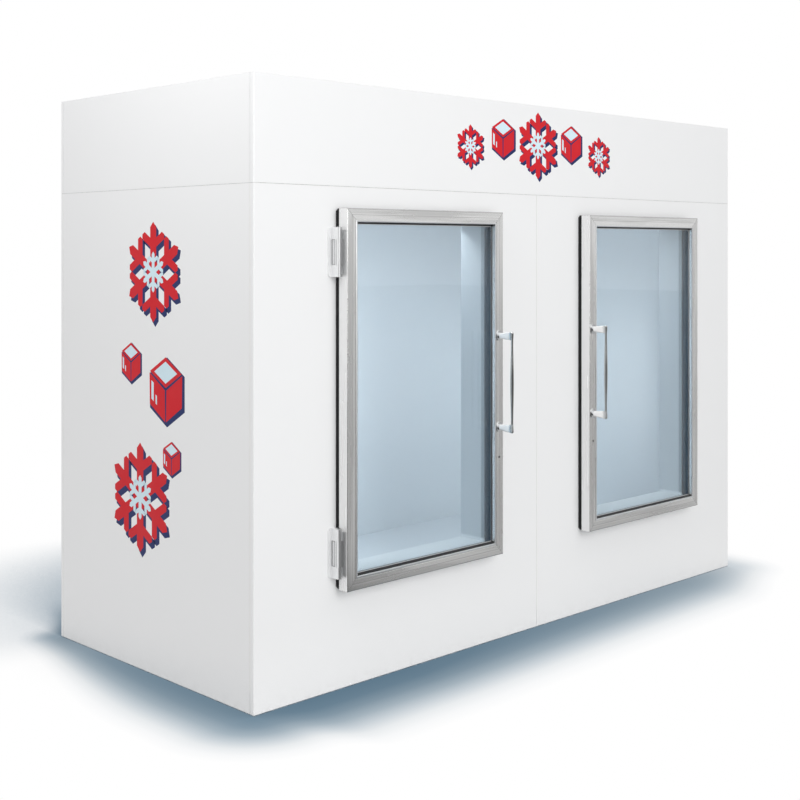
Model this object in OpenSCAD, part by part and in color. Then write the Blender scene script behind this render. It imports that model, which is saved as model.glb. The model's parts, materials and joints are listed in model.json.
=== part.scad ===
// Ice merchandiser freezer with two hinged glass doors and its cooling unit behind the header.
// Millimetres. +X is right as seen from the front, the doors face -Y and +Z is up. The origin is
// on the floor, in the middle of the footprint, with the handles counted in its depth.

/* [Cabinet] */
// Width over the side panels
cabinet_w = 2388; // [1980:1:2900]
// Depth from the front panel to the back panel
cabinet_d = 1020; // [840:1:1250]
// Height from the floor to the top of the header
cabinet_h = 1750; // [1450:1:2110]
// Height of the header that hides the cooling unit
header_h = 300; // [285:1:365]
// Thickness of the painted steel panels
skin_t = 1; // [0.8:0.1:1.5]
// How far the front and back panels wrap round the cabinet's corners
corner_wrap = 16; // [12:1:30]
// Outer radius of the bent corners
corner_r = 3; // [2:0.5:6]
// Open line between neighbouring panels
panel_gap = 1.2; // [0.8:0.1:2]
// Width of the flanges turned inwards along the panels' edges
flange_w = 20; // [12:1:30]
// Height of the panels' lower edges above the floor
skirt_gap = 4; // [2:1:10]

/* [Base] */
// Height of the steel rails that the box stands on
rail_h = 60; // [45:1:90]
// Width of a rail
rail_w = 40; // [30:1:60]
// Wall of a rail
rail_t = 3; // [2:0.5:5]
// How far the rails stand back from the panels' outer faces
rail_inset = 2; // [1.6:0.2:6]
// Number of cross rails
cross_rails = 4; // [3:1:6]

/* [Insulated box] */
// Thickness of the front wall, door jambs included
front_wall = 100; // [80:1:120]
// Thickness of the side walls
side_wall = 76; // [60:1:100]
// Thickness of the back wall
back_wall = 76; // [60:1:100]
// Thickness of the floor
floor_wall = 90; // [70:1:110]
// Thickness of the roof
roof_wall = 75; // [60:1:100]
// Thickness of the inner lining
liner_t = 0.8; // [0.6:0.1:1.5]
// Thickness of the plastic door jambs
jamb_t = 2; // [1.5:0.5:3]
// Width of the jambs' flange on the inner lining
jamb_flange = 12; // [8:1:16]
// Outer radius of the floor drain's spigot
drain_r = 13; // [10:0.5:18]

/* [Doors] */
// From the cabinet's side to the nearer door's hinge edge
door_end_margin = 296; // [230:1:360]
// From one door to the other
door_middle_gap = 452; // [300:1:600]
// Height of the doors' lower edge above the floor
door_bottom = 292; // [240:1:340]
// From the doors' upper edge to the joint line under the header
door_top_margin = 64; // [55:1:110]
// Width of the door frame's face
frame_face = 39; // [34:0.5:48]
// Depth of the door frame
frame_depth = 35; // [32:0.5:42]
// How far the glass lies behind the face of its frame
glass_recess = 15; // [12:0.5:18]
// Wall of the hollow frame section
frame_wall = 2.5; // [1.5:0.5:3]
// Thickness of one glass pane
pane_t = 4; // [3:0.5:5]
// Thickness of the closed gasket, seal to frame
gasket_t = 14.7; // [12:0.1:18]
// Clearance between pieces that meet across a joint
seat_gap = 0.3; // [0.2:0.05:0.5]
// Open line in the mitred corners of the frame
mitre_gap = 0.25; // [0.2:0.05:0.5]

/* [Handles] */
// Length of a handle
handle_len = 322; // [240:1:400]
// Thickness of a handle's grip at its middle
handle_d = 12; // [10:0.5:16]
// Thickness of the grip where it is thinnest
handle_waist_d = 7.6; // [6:0.2:10]
// From the door's face to the front of the grip
handle_reach = 60; // [45:1:75]
// Height of the handle's middle above the middle of the door
handle_lift = 7; // [-50:1:50]
// From the end of the grip to the middle of its oval foot
handle_foot_inset = 15; // [13:1:40]

/* [Hinges] */
// Height of a hinge
hinge_h = 142; // [110:1:170]
// Width of the leaf on the cabinet
hinge_leaf_w = 27; // [20:1:30]
// From the door's edge out to the hinge axis
hinge_offset = 12; // [11:0.5:14]
// From the gasket's frame side out to the hinge axis
hinge_axis_out = 12; // [9:0.5:16]
// Radius of the hinge knuckles
knuckle_r = 7.5; // [6:0.5:8]
// Radius of the hinge pins
pin_r = 3; // [2.5:0.5:4]
// From the door's top to the middle of its upper hinge
upper_hinge_drop = 126; // [100:1:200]
// From the door's bottom to the middle of its lower hinge
lower_hinge_rise = 108; // [90:1:200]

/* [Evaporator] */
// Width of the insulated evaporator housing
evap_w = 1000; // [760:1:1200]
// Depth of the evaporator housing
evap_d = 640; // [540:1:680]
// Height of the evaporator housing with its lid
evap_h = 240; // [225:1:250]
// Wall of the evaporator housing
evap_wall = 35; // [25:1:45]
// How far the housing stands to the right of the middle
evap_shift = 330; // [300:1:380]
// From the back lining to the opening under the housing
evap_back_gap = 30; // [25:1:60]
// Diameter of the evaporator fans
evap_fan_d = 200; // [160:1:220]

/* [Condensing unit] */
// Width of the tray under the condensing unit
tray_w = 640; // [600:1:700]
// Depth of the tray
tray_d = 480; // [440:1:540]
// Height of the tray
tray_h = 25; // [18:1:35]
// How far the tray's middle stands to the left of the middle
tray_shift = 640; // [600:1:650]
// Diameter of the condenser fan
condenser_fan_d = 200; // [160:1:205]
// Radius of the compressor's shell
compressor_r = 82; // [70:1:90]
// Radius of the hole for the mains cord
cord_hole_r = 8; // [6:0.5:12]

/* [Hidden] */
$fn = 48;
cut = 1;              // how far a cutting shape runs past what it cuts
shaft_play = 0.05;    // radial clearance of a shaft or pin in its bore

white = "#f1f2f3";
zinc = "#b9bcbf";
steel = "#a4a9ae";
alu = "#a9abad";
foam_yellow = "#e8dcae";
liner_blue = "#cfdde6";
slate = "#4b5f6f";
black = "#202224";
copper = "#b87448";

// Places worked out from the driving sizes
half_w = cabinet_w / 2;
door_standoff = seat_gap + gasket_t;
front_reach = door_standoff + frame_depth + handle_reach;
y_front = (front_reach - cabinet_d) / 2;
y_back = y_front + cabinet_d;
box_top = cabinet_h - header_h;
pan_top = rail_h + skin_t;
floor_z = rail_h + floor_wall;
ceiling_z = box_top - roof_wall;
inner_x = half_w - side_wall;
inner_front = y_front + front_wall;
inner_back = y_back - back_wall;
middle_y = (y_front + y_back) / 2;

door_w = (cabinet_w - 2 * door_end_margin - door_middle_gap) / 2;
door_h = box_top - door_top_margin - door_bottom;
door_edge_x = half_w - door_end_margin;
sight_x = [door_middle_gap / 2 + frame_face, door_edge_x - frame_face];
sight_z = [door_bottom + frame_face, door_bottom + door_h - frame_face];

glazing_step = 12;                  // how deep the glass sits in its frame
glass_inset = frame_face - glazing_step + 2;
gasket_w = frame_face - 17;         // width of the gasket's base
inner_frame_t = gasket_t - 3;       // how far the inner frame stands behind the glass
handle_z = door_h / 2 + handle_lift;

spigot_z = [rail_h - 48, rail_h - 4];   // the stretch of the floor drain that takes a hose

evap_x = evap_shift;
evap_y = inner_back - evap_back_gap + evap_wall - evap_d / 2;
duct_x = [evap_x - evap_w / 2 + evap_wall, evap_x + evap_w / 2 - evap_wall];
duct_y = [evap_y - evap_d / 2 + evap_wall, evap_y + evap_d / 2 - evap_wall];
duct_ledge = 15;                    // how far the ceiling lining carries the fan deck
deck_t = 1.5;
deck_z = ceiling_z + liner_t;
evap_fan_x = [evap_x - (duct_x[1] - duct_x[0]) / 4, evap_x + (duct_x[1] - duct_x[0]) / 4];
evap_fan_margin = 20;               // from the ledge to the fans' sweep
evap_fan_y = duct_y[0] + duct_ledge + evap_fan_margin + evap_fan_d / 2;
evap_fan_lift = 34;                 // from the fan deck up to the middle of a fan
evap_fan_z = deck_z + deck_t + evap_fan_lift;
coil_y = [duct_y[1] - 210, duct_y[1] - 30];
coil_z = [box_top + 66, box_top + evap_h - evap_wall - 10];
coil_stub = 4;                      // how far a coil's tubes stand out of its end plates
coil_end_room = 44;                 // for the coil's return bends, beside its end plates
pan_y = [coil_y[0] - 12, coil_y[1] + 12];
pan_z = [coil_z[0] - 26, coil_z[0] - seat_gap];
pan_wall = 1.5;

tray_x = -tray_shift;
tray_top = box_top + tray_h;
cond_margin = 18;                   // from the fan's sweep to the coil's sides
cond_x = [tray_x - tray_w / 2 + 12, tray_x - tray_w / 2 + 12 + condenser_fan_d + 2 * cond_margin];
cond_y = [middle_y + tray_d / 2 - 92, middle_y + tray_d / 2 - 12];
cond_h = condenser_fan_d + 30;
cond_columns = 2;
cond_levels = 5;
cond_tube_r = 4.8;
cond_step_y = (cond_y[1] - cond_y[0]) / cond_columns;
cond_step_z = cond_h / cond_levels;
cond_mid_x = (cond_x[0] + cond_x[1]) / 2;
cond_fan_z = tray_top + cond_h / 2;
shroud_depth = 45;
shroud_fan_inset = 12;              // from the shroud's face back to the middle of its fan
cond_fan_y = cond_y[0] - shroud_depth + shroud_fan_inset;
compressor_x = tray_x + tray_w / 2 - compressor_r - 45;
compressor_y = middle_y - 30;
mount_h = 14;
compressor_z = tray_top + mount_h;
compressor_shoulder = 132;
dome_r = compressor_r * 1.15;
dome_z = compressor_shoulder - sqrt(dome_r * dome_r - compressor_r * compressor_r);
control_x = [half_w - 260, half_w - 60];
control_y = [y_back - 190, y_back - 41];
control_h = 150;
cord_x = half_w - 180;
cord_z = box_top + 60;
bushing_wall = 6;
shaft_r = 4;
spout_r = 8;                        // the drain pan's outlet tube
spout_x = duct_x[1] - 60;
spout_z = (pan_z[0] + pan_z[1]) / 2 - 2;
bend_inner = corner_r - skin_t;     // inner radius of the panels' corners

// ---- shapes that repeat ----

// A box between two corners, each axis given as [low, high]
module span(x, y, z) {
    translate([x[0], y[0], z[0]]) cube([x[1] - x[0], y[1] - y[0], z[1] - z[0]]);
}

// A rectangle between two corners, in the plane
module span2(x, y) {
    translate([x[0], y[0]]) square([x[1] - x[0], y[1] - y[0]]);
}

// A rectangular ring that faces along Y: its outer sides, its depth and how wide it is all round
module ring_y(x, y, z, width) {
    difference() {
        span(x, y, z);
        span([x[0] + width, x[1] - width], [y[0] - cut, y[1] + cut], [z[0] + width, z[1] - width]);
    }
}

// A rectangle with round corners, centred
module rounded_rect(w, d, r) {
    square([w - 2 * r, d], center = true);
    square([w, d - 2 * r], center = true);
    for (sx = [-1, 1], sy = [-1, 1]) translate([sx * (w / 2 - r), sy * (d / 2 - r)]) circle(r);
}

// What rounds off the outer corners of a core that lies inside the bent panels
module corner_trims(y_outer, back) {
    for (sx = [-1, 1]) translate([sx * (half_w - skin_t), y_outer, 0])
        mirror([sx < 0 ? 0 : 1, 0, 0]) mirror([0, back, 0]) translate([bend_inner, bend_inner, 0])
            linear_extrude(cabinet_h) difference() {
                translate([-bend_inner - cut, -bend_inner - cut]) square(bend_inner + cut);
                circle(bend_inner);
            }
}

module mirrored_x() {
    children();
    mirror([1, 0, 0]) children();
}

// Plan of a front panel between two X positions, with a bent return at each end that has one
module wrapped_plan(x, wrap_left, wrap_right) {
    start = wrap_left ? x[0] + corner_r : x[0];
    end = wrap_right ? x[1] - corner_r : x[1];
    translate([start, 0]) square([end - start, skin_t]);
    if (wrap_left) corner_return(x[0]);
    if (wrap_right) translate([x[1], 0]) mirror([1, 0]) corner_return(0);
}

// The bent corner and its return, the corner's outer point at the given X
module corner_return(x) {
    translate([x + corner_r, corner_r]) intersection() {
        difference() {
            circle(corner_r);
            circle(corner_r - skin_t);
        }
        translate([-corner_r, -corner_r]) square(corner_r);
    }
    translate([x, corner_r]) square([skin_t, corner_wrap - corner_r]);
}

// A hole through the front wall for each door, grown by the given amount all round
module door_cuts(y, grow) {
    mirrored_x() span([sight_x[0] - grow, sight_x[1] + grow], y,
                      [sight_z[0] - grow, sight_z[1] + grow]);
}

function unit(v) = v / norm(v);
corner_steps = 4;
function corner_curve(a, b, c) = [for (i = [0:corner_steps])
    let (t = i / corner_steps) (1 - t) * (1 - t) * a + 2 * t * (1 - t) * b + t * t * c];
// A route's points with each inner corner rounded, starting the given distance from it
function rounded_route(p, r) = concat(
    [p[0]],
    [for (i = [1:len(p) - 2])
        each corner_curve(p[i] + r * unit(p[i - 1] - p[i]), p[i], p[i] + r * unit(p[i + 1] - p[i]))],
    [p[len(p) - 1]]);
function tangents(p) =
    [for (i = [0:len(p) - 1]) unit(p[min(i + 1, len(p) - 1)] - p[max(i - 1, 0)])];
function carried_normals(t, n, i = 0) =
    i == len(t) ? [] :
    let (m = unit(n - (n * t[i]) * t[i])) concat([m], carried_normals(t, m, i + 1));

// A round tube along a route
module tube_along(route, r, bend, sides = 10) {
    p = rounded_route(route, bend);
    t = tangents(p);
    first = abs(t[0][2]) < 0.9 ? [0, 0, 1] : [1, 0, 0];
    n = carried_normals(t, first);
    last = len(p) - 1;
    points = [for (i = [0:last], j = [0:sides - 1])
        let (a = 360 * j / sides) p[i] + r * (cos(a) * n[i] + sin(a) * cross(t[i], n[i]))];
    walls = [for (i = [0:last - 1], j = [0:sides - 1])
        let (k = (j + 1) % sides)
        each [[i * sides + j, (i + 1) * sides + j, i * sides + k],
              [(i + 1) * sides + j, (i + 1) * sides + k, i * sides + k]]];
    ends = [[for (j = [0:sides - 1]) j], [for (j = [sides - 1:-1:0]) last * sides + j]];
    polyhedron(points, concat(walls, ends));
}

// A stamped fan that turns about Z: a hub with a shaft bore, and cambered blades
module fan(d, blades) {
    hub_r = d * 0.15;
    hub_h = 22;
    blade_middle = d * 0.3;
    blade_r = d * 0.2;
    blade_t = 1.5;
    blade_angle = 28;
    camber_r = d * 0.45;
    rise = d * 0.05;        // brings the cambered blades level with the hub
    half_sweep = 30;        // most that a blade reaches above and below the middle
    difference() {
        union() {
            translate([0, 0, -hub_h / 2]) cylinder(h = hub_h, r = hub_r);
            for (i = [0:blades - 1]) rotate([0, 0, i * 360 / blades]) intersection() {
                translate([0, 0, -half_sweep]) linear_extrude(2 * half_sweep) intersection() {
                    circle(d / 2);
                    translate([blade_middle, 0]) circle(blade_r);
                }
                translate([0, 0, rise]) rotate([blade_angle, 0, 0]) translate([0, 0, -camber_r])
                    rotate([0, 90, 0]) difference() {
                    cylinder(h = d, r = camber_r + blade_t / 2);
                    translate([0, 0, -cut]) cylinder(h = d + 2 * cut, r = camber_r - blade_t / 2);
                }
            }
        }
        translate([0, 0, -hub_h]) cylinder(h = 2 * hub_h, r = shaft_r + shaft_play);
    }
}

// A fan motor on Z whose shaft points down to the origin, with bent arms out to a mounting plate
module fan_motor(body_r, body_h, lift, arm_r, plate_z) {
    cap_h = 8;
    arm_t = 3;
    half_arm = 6;
    arm_z = lift + 20;
    foot = 14;
    foot_t = 2;
    translate([0, 0, lift]) cylinder(h = body_h, r = body_r);
    translate([0, 0, lift + body_h]) cylinder(h = cap_h, r1 = body_r, r2 = body_r * 0.6);
    translate([0, 0, -9]) cylinder(h = lift + 9 + cut, r = shaft_r);
    for (a = [45:90:315]) rotate([0, 0, a]) {
        span([body_r - 4, arm_r + arm_t], [-half_arm, half_arm], [arm_z, arm_z + arm_t]);
        span([arm_r, arm_r + arm_t], [-half_arm, half_arm], [plate_z, arm_z + arm_t]);
        span([arm_r, arm_r + foot], [-half_arm, half_arm], [plate_z, plate_z + foot_t]);
    }
}

// A bend swaged over the ends of two tubes along X, given the middles of both as [Y, Z]
module return_bend(a, b, side, tube_r) {
    socket = 0.6;
    d = b - a;
    translate([0, (a[0] + b[0]) / 2, (a[1] + b[1]) / 2]) rotate([atan2(d[1], d[0]), 0, 0])
        rotate([0, 0, -90 * side]) rotate_extrude(angle = 180)
            translate([norm(d) / 2, 0]) circle(tube_r + socket);
}

// A finned coil along X: end plates, fins, and tubes joined outside the plates by return bends.
// The tubes run to and fro across each level, from the top one down; side 1 starts on the right
module finned_coil(x, y, z, pitch, columns, levels, tube_r, side, foot = 0) {
    plate_t = 2;
    fin_t = 0.8;
    fin_inset = 2;
    bend_out = coil_stub - 1;       // the tubes' ends reach a little way into the bends
    step_y = (y[1] - y[0]) / columns;
    step_z = (z[1] - z[0]) / levels;
    fins = floor((x[1] - x[0]) / pitch) - 1;
    places = [for (l = [0:levels - 1], c = [0:columns - 1])
        let (column = l % 2 == 0 ? columns - 1 - c : c)
        [y[0] + (column + 0.5) * step_y, z[1] - (l + 0.5) * step_z]];
    for (px = [x[0], x[1] - plate_t]) span([px, px + plate_t], y, [z[0] - foot, z[1]]);
    for (i = [1:fins])
        span([x[0] + i * pitch, x[0] + i * pitch + fin_t], [y[0] + fin_inset, y[1] - fin_inset],
             [z[0] + fin_inset, z[1] - fin_inset]);
    for (p = places) translate([x[0] - coil_stub, p[0], p[1]]) rotate([0, 90, 0])
        cylinder(h = x[1] - x[0] + 2 * coil_stub, r = tube_r);
    for (i = [0:len(places) - 2]) {
        bend_side = i % 2 == 0 ? -side : side;
        translate([bend_side < 0 ? x[0] - bend_out : x[1] + bend_out, 0, 0])
            return_bend(places[i], places[i + 1], bend_side, tube_r);
    }
}

// ---- base ----

module rail_section() {
    difference() {
        square([rail_w, rail_h]);
        translate([rail_t, rail_t]) square([rail_w, rail_h - 2 * rail_t]);
    }
}

module base_rails() color(steel) {
    y0 = y_front + rail_inset;
    y1 = y_back - rail_inset;
    x1 = half_w - rail_inset;
    translate([-x1, y0, 0]) rotate([90, 0, 90]) linear_extrude(2 * x1) rail_section();
    translate([-x1, y1, 0]) rotate([90, 0, 90]) linear_extrude(2 * x1) mirror([1, 0]) rail_section();
    for (i = [0:cross_rails - 1]) {
        x = -x1 + i * (2 * x1 - rail_w) / (cross_rails - 1);
        translate([x, 0, 0]) difference() {
            span([0, rail_w], [y0 + rail_w + seat_gap, y1 - rail_w - seat_gap], [0, rail_h]);
            span([rail_t, rail_w - rail_t], [y0, y1], [rail_t, rail_h - rail_t]);
        }
    }
}

module base_pan() color(zinc) difference() {
    span([-half_w + skin_t, half_w - skin_t], [y_front + skin_t, y_back - skin_t], [rail_h, pan_top]);
    translate([0, middle_y, 0]) cylinder(h = cabinet_h, r = drain_r + 0.5);
    corner_trims(y_front + skin_t, 0);
    corner_trims(y_back - skin_t, 1);
}

// ---- outer panels ----

module side_panels() color(white) mirrored_x() {
    y = [y_front + corner_wrap + panel_gap, y_back - corner_wrap - panel_gap];
    span([-half_w, -half_w + skin_t], y, [skirt_gap, box_top - panel_gap]);
}

module back_panel() color(white) translate([0, y_back, skirt_gap]) mirror([0, 1, 0])
    linear_extrude(box_top - panel_gap - skirt_gap) wrapped_plan([-half_w, half_w], true, true);

module left_front_panel() color(white) difference() {
    translate([0, y_front, skirt_gap]) linear_extrude(box_top - panel_gap - skirt_gap)
        wrapped_plan([-half_w, -panel_gap / 2], true, false);
    door_cuts([y_front - cut, y_front + skin_t + cut], jamb_t);
}

module right_front_panel() mirror([1, 0, 0]) left_front_panel();

module roof_panel() color(zinc) difference() {
    inset = skin_t + 0.5;
    span([-half_w + inset, half_w - inset], [y_front + inset, y_back - inset],
         [box_top - skin_t, box_top]);
    span(duct_x, duct_y, [box_top - 2 * skin_t, box_top + cut]);
}

// ---- insulation ----

module floor_insulation() color(foam_yellow) difference() {
    span([-inner_x - liner_t, inner_x + liner_t], [inner_front - liner_t, inner_back + liner_t],
         [pan_top, floor_z - liner_t]);
    translate([0, middle_y, 0]) cylinder(h = cabinet_h, r = drain_r + 0.5);
}

module roof_insulation() color(foam_yellow) difference() {
    z = [ceiling_z + liner_t, box_top - skin_t];
    span([-inner_x - liner_t, inner_x + liner_t], [inner_front - liner_t, inner_back + liner_t], z);
    span(duct_x, duct_y, [z[0] - cut, z[1] + cut]);
}

module back_insulation() color(foam_yellow) difference() {
    span([-half_w + skin_t, half_w - skin_t], [inner_back + liner_t, y_back - skin_t],
         [pan_top, box_top - skin_t]);
    corner_trims(y_back - skin_t, 1);
}

module side_insulation() color(foam_yellow) mirrored_x()
    span([-half_w + skin_t, -inner_x - liner_t], [inner_front - liner_t, inner_back + liner_t],
         [pan_top, box_top - skin_t]);

module front_insulation() color(foam_yellow) difference() {
    y = [y_front + skin_t, inner_front - liner_t];
    span([-half_w + skin_t, half_w - skin_t], y, [pan_top, box_top - skin_t]);
    door_cuts([y[0] - cut, y[1] + cut], jamb_t);
    corner_trims(y[0], 0);
}

// ---- inner lining ----

module wall_liner() color(liner_blue) {
    y = [inner_front - liner_t, inner_back + liner_t];
    translate([0, 0, floor_z - liner_t])
        linear_extrude(ceiling_z - floor_z + 2 * liner_t) difference() {
            span2([-inner_x - liner_t, inner_x + liner_t], y);
            span2([-inner_x, inner_x], [y[0] - cut, inner_back]);
        }
}

module floor_liner() color(liner_blue) difference() {
    span([-inner_x, inner_x], [inner_front - liner_t, inner_back], [floor_z - liner_t, floor_z]);
    translate([0, middle_y, 0]) cylinder(h = cabinet_h, r = drain_r + 0.5);
}

module ceiling_liner() color(liner_blue) difference() {
    span([-inner_x, inner_x], [inner_front - liner_t, inner_back], [ceiling_z, deck_z]);
    span([duct_x[0] + duct_ledge, duct_x[1] - duct_ledge],
         [duct_y[0] + duct_ledge, duct_y[1] - duct_ledge], [ceiling_z - cut, deck_z + cut]);
}

module front_liner() color(liner_blue) difference() {
    span([-inner_x, inner_x], [inner_front - liner_t, inner_front], [floor_z, ceiling_z]);
    door_cuts([inner_front - cut, inner_front + cut], jamb_t);
}

module door_jambs() color(liner_blue) mirrored_x() {
    x = [sight_x[0] - jamb_t, sight_x[1] + jamb_t];
    z = [sight_z[0] - jamb_t, sight_z[1] + jamb_t];
    ring_y(x, [y_front, inner_front + jamb_t], z, jamb_t);
    ring_y([x[0] - jamb_flange, x[1] + jamb_flange], [inner_front, inner_front + jamb_t],
           [z[0] - jamb_flange, z[1] + jamb_flange], jamb_t + jamb_flange);
}

light_half = inner_x - 150;
light_h = 12;
light_y = [inner_front + 18, inner_front + 58];

module interior_light() color(alu) {
    wall = 3;
    difference() {
        span([-light_half, light_half], light_y, [ceiling_z - light_h, ceiling_z]);
        span([-light_half - cut, light_half + cut], [light_y[0] + wall, light_y[1] - wall],
             [ceiling_z - light_h - cut, ceiling_z - wall]);
    }
}

module light_lens() color("#f4f6f2") {
    lens_t = 2;
    lens_r = (light_y[1] - light_y[0]) / 2 - 3 - seat_gap;
    translate([-light_half + lens_t, (light_y[0] + light_y[1]) / 2, ceiling_z - 3])
        rotate([0, 90, 0]) rotate([0, 0, 180]) linear_extrude(2 * (light_half - lens_t)) difference() {
            intersection() {
                circle(lens_r);
                translate([-lens_r - cut, -lens_r - cut]) square([lens_r + cut, 2 * (lens_r + cut)]);
            }
            circle(lens_r - lens_t);
        }
}

// Through the floor, with a spigot for a hose underneath and a flange on the lining
module floor_drain() color(steel) translate([0, middle_y, 0]) {
    flange = 22;
    flange_t = 2;
    wall = 3;
    difference() {
        union() {
            translate([0, 0, spigot_z[0]])
                cylinder(h = spigot_z[1] - spigot_z[0], r = drain_r - 0.5);
            translate([0, 0, spigot_z[1]]) cylinder(h = floor_z - spigot_z[1], r = drain_r);
            translate([0, 0, floor_z]) cylinder(h = flange_t, r = drain_r + flange);
        }
        translate([0, 0, spigot_z[0] - cut]) cylinder(h = floor_z, r = drain_r - wall);
    }
}

// ---- header ----

module header_front() color(white) {
    translate([0, y_front, box_top]) linear_extrude(header_h)
        wrapped_plan([-half_w, half_w], true, true);
    for (z = [box_top, cabinet_h - skin_t])
        span([-half_w + corner_r, half_w - corner_r], [y_front + skin_t / 2, y_front + flange_w],
             [z, z + skin_t]);
}

module header_sides() color(white) mirrored_x() {
    y = [y_front + corner_wrap + panel_gap, y_back - corner_wrap - panel_gap];
    span([-half_w, -half_w + skin_t], y, [box_top, cabinet_h]);
    for (z = [box_top, cabinet_h - skin_t])
        span([-half_w, -half_w + flange_w], [y[0] + flange_w, y[1] - flange_w], [z, z + skin_t]);
}

louvre_w = 150;
louvre_pitch_x = 190;
louvre_pitch_z = 26;
louvre_columns = 5;
louvre_rows = 8;
louvre_r = 10;          // radius of a pressed hood
louvre_first_z = 45;    // from the header's lower edge to the first slot

// One pressed louvre: the hood stands in from the panel over its slot
module louvre_hood() {
    rotate([0, 90, 0]) linear_extrude(louvre_w) difference() {
        intersection() {
            circle(louvre_r);
            translate([-louvre_r, -louvre_r]) square([2 * louvre_r, louvre_r]);
        }
        circle(louvre_r - skin_t);
        translate([0, -louvre_r - cut]) square([louvre_r + cut, louvre_r + 2 * cut]);
    }
}

module header_back() color(white) {
    difference() {
        union() {
            translate([0, y_back, box_top]) mirror([0, 1, 0]) linear_extrude(header_h)
                wrapped_plan([-half_w, half_w], true, true);
            for (z = [box_top, cabinet_h - skin_t])
                span([-half_w + corner_r, half_w - corner_r],
                     [y_back - flange_w, y_back - skin_t / 2], [z, z + skin_t]);
        }
        louvre_places() translate([0, -2 * skin_t, 0])
            cube([louvre_w, 4 * skin_t, louvre_r - skin_t]);
        translate([cord_x, y_back, cord_z]) rotate([90, 0, 0])
            cylinder(h = 20, r = cord_hole_r + bushing_wall, center = true);
        translate([spout_x, y_back, spout_z]) rotate([90, 0, 0])
            cylinder(h = 20, r = spout_r + 0.5, center = true);
    }
    louvre_places() translate([0, -skin_t, 0]) louvre_hood();
}

// Every louvre's lower left corner on the back panel's outer face
module louvre_places() {
    for (i = [0:louvre_columns - 1], j = [0:louvre_rows - 1])
        translate([tray_x + (i - (louvre_columns - 1) / 2) * louvre_pitch_x - louvre_w / 2, y_back,
                   box_top + louvre_first_z + j * louvre_pitch_z]) children();
}

module header_posts() color(zinc) mirrored_x() for (back = [0, 1]) {
    post_w = 32;
    post_t = 2;
    nudge = (1 - sqrt(0.5)) * bend_inner + 0.05;    // clears the bend inside the panels' corners
    y = back ? y_back - skin_t - nudge : y_front + skin_t + nudge;
    translate([-half_w + skin_t + nudge, y, box_top + skin_t]) mirror([0, back, 0])
        linear_extrude(header_h - 2 * skin_t) {
            square([post_w, post_t]);
            square([post_t, post_w]);
        }
}

// ---- doors: built as the left door, from its hinge edge, with the cabinet's face at Y = 0 ----

module at_left_door() {
    translate([-door_edge_x, y_front, door_bottom]) children();
}

frame_y = [-door_standoff - frame_depth, -door_standoff];
glass_y = frame_y[0] + glass_recess;
spacer_t = frame_depth - glass_recess - 2 * pane_t;

// Section of the frame: X runs in from the outer edge, Y back from the front face
module frame_section() {
    r = 2.5;                        // rounding of the outer front edge
    lip = glass_recess;
    step_x = frame_face - glazing_step;
    groove = [frame_face - 7.5, frame_face - 6];
    groove_depth = 0.8;
    difference() {
        union() {
            translate([r, r]) circle(r);
            translate([r, 0]) square([frame_face - r, r]);
            translate([0, r]) square([step_x, frame_depth - r]);
            translate([step_x - cut, r]) square([glazing_step + cut, lip - r]);
        }
        // hollow chambers
        span2([frame_wall, step_x - frame_wall], [frame_wall, frame_depth - frame_wall]);
        span2([step_x, frame_face - frame_wall], [frame_wall + groove_depth, lip - frame_wall]);
        // fine line along the inner edge of the face
        span2(groove, [-cut, groove_depth]);
    }
}

// One side of the frame along +Z from its lower outer corner, both ends mitred
module frame_member(length) {
    intersection() {
        linear_extrude(length) frame_section();
        translate([0, frame_depth + cut, 0]) rotate([90, 0, 0])
            linear_extrude(frame_depth + 2 * cut)
                polygon([[0, mitre_gap], [frame_face, frame_face + mitre_gap],
                         [frame_face, length - frame_face - mitre_gap], [0, length - mitre_gap]]);
    }
}

module door_frame() color(alu) translate([0, frame_y[0], 0]) {
    frame_member(door_h);
    translate([door_w, 0, 0]) mirror([1, 0, 0]) frame_member(door_h);
    translate([door_w, 0, 0]) rotate([0, -90, 0]) frame_member(door_w);
    translate([door_w, 0, door_h]) mirror([0, 0, 1]) rotate([0, -90, 0]) frame_member(door_w);
}

module door_inner_frame() color(slate) {
    x0 = gasket_w + 1;
    ring_y([x0, door_w - x0], [frame_y[1], frame_y[1] + inner_frame_t], [x0, door_h - x0],
           frame_face - x0);
}

module door_panes() color([0.78, 0.87, 0.93, 0.5]) for (y = [glass_y, frame_y[1] - pane_t])
    span([glass_inset, door_w - glass_inset], [y, y + pane_t], [glass_inset, door_h - glass_inset]);

module door_spacer() color(slate) {
    y = glass_y + pane_t;
    ring_y([glass_inset + 1, door_w - glass_inset - 1], [y, y + spacer_t],
           [glass_inset + 1, door_h - glass_inset - 1], frame_face - glass_inset);
}

// A ring of the gasket with its outer corners cut off
module gasket_ring(inset, width, y, corner) {
    difference() {
        ring_y([inset, door_w - inset], y, [inset, door_h - inset], width);
        for (x = [inset, door_w - inset], z = [inset, door_h - inset])
            translate([x, (y[0] + y[1]) / 2, z]) rotate([0, 45, 0])
                cube([corner * sqrt(2), y[1] - y[0] + 2 * cut, corner * sqrt(2)], center = true);
    }
}

module door_gasket() color(black) {
    base_t = 5;
    neck_t = 3;
    neck_inset = 4;
    bulb_inset = 0.5;
    corner = 8;
    y0 = frame_y[1];
    gasket_ring(0, gasket_w, [y0, y0 + base_t], corner);
    gasket_ring(neck_inset, gasket_w - 2 * neck_inset, [y0 + base_t, y0 + base_t + neck_t], corner - 2);
    gasket_ring(bulb_inset, gasket_w - 2 * bulb_inset, [y0 + base_t + neck_t, y0 + gasket_t], corner);
}

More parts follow.
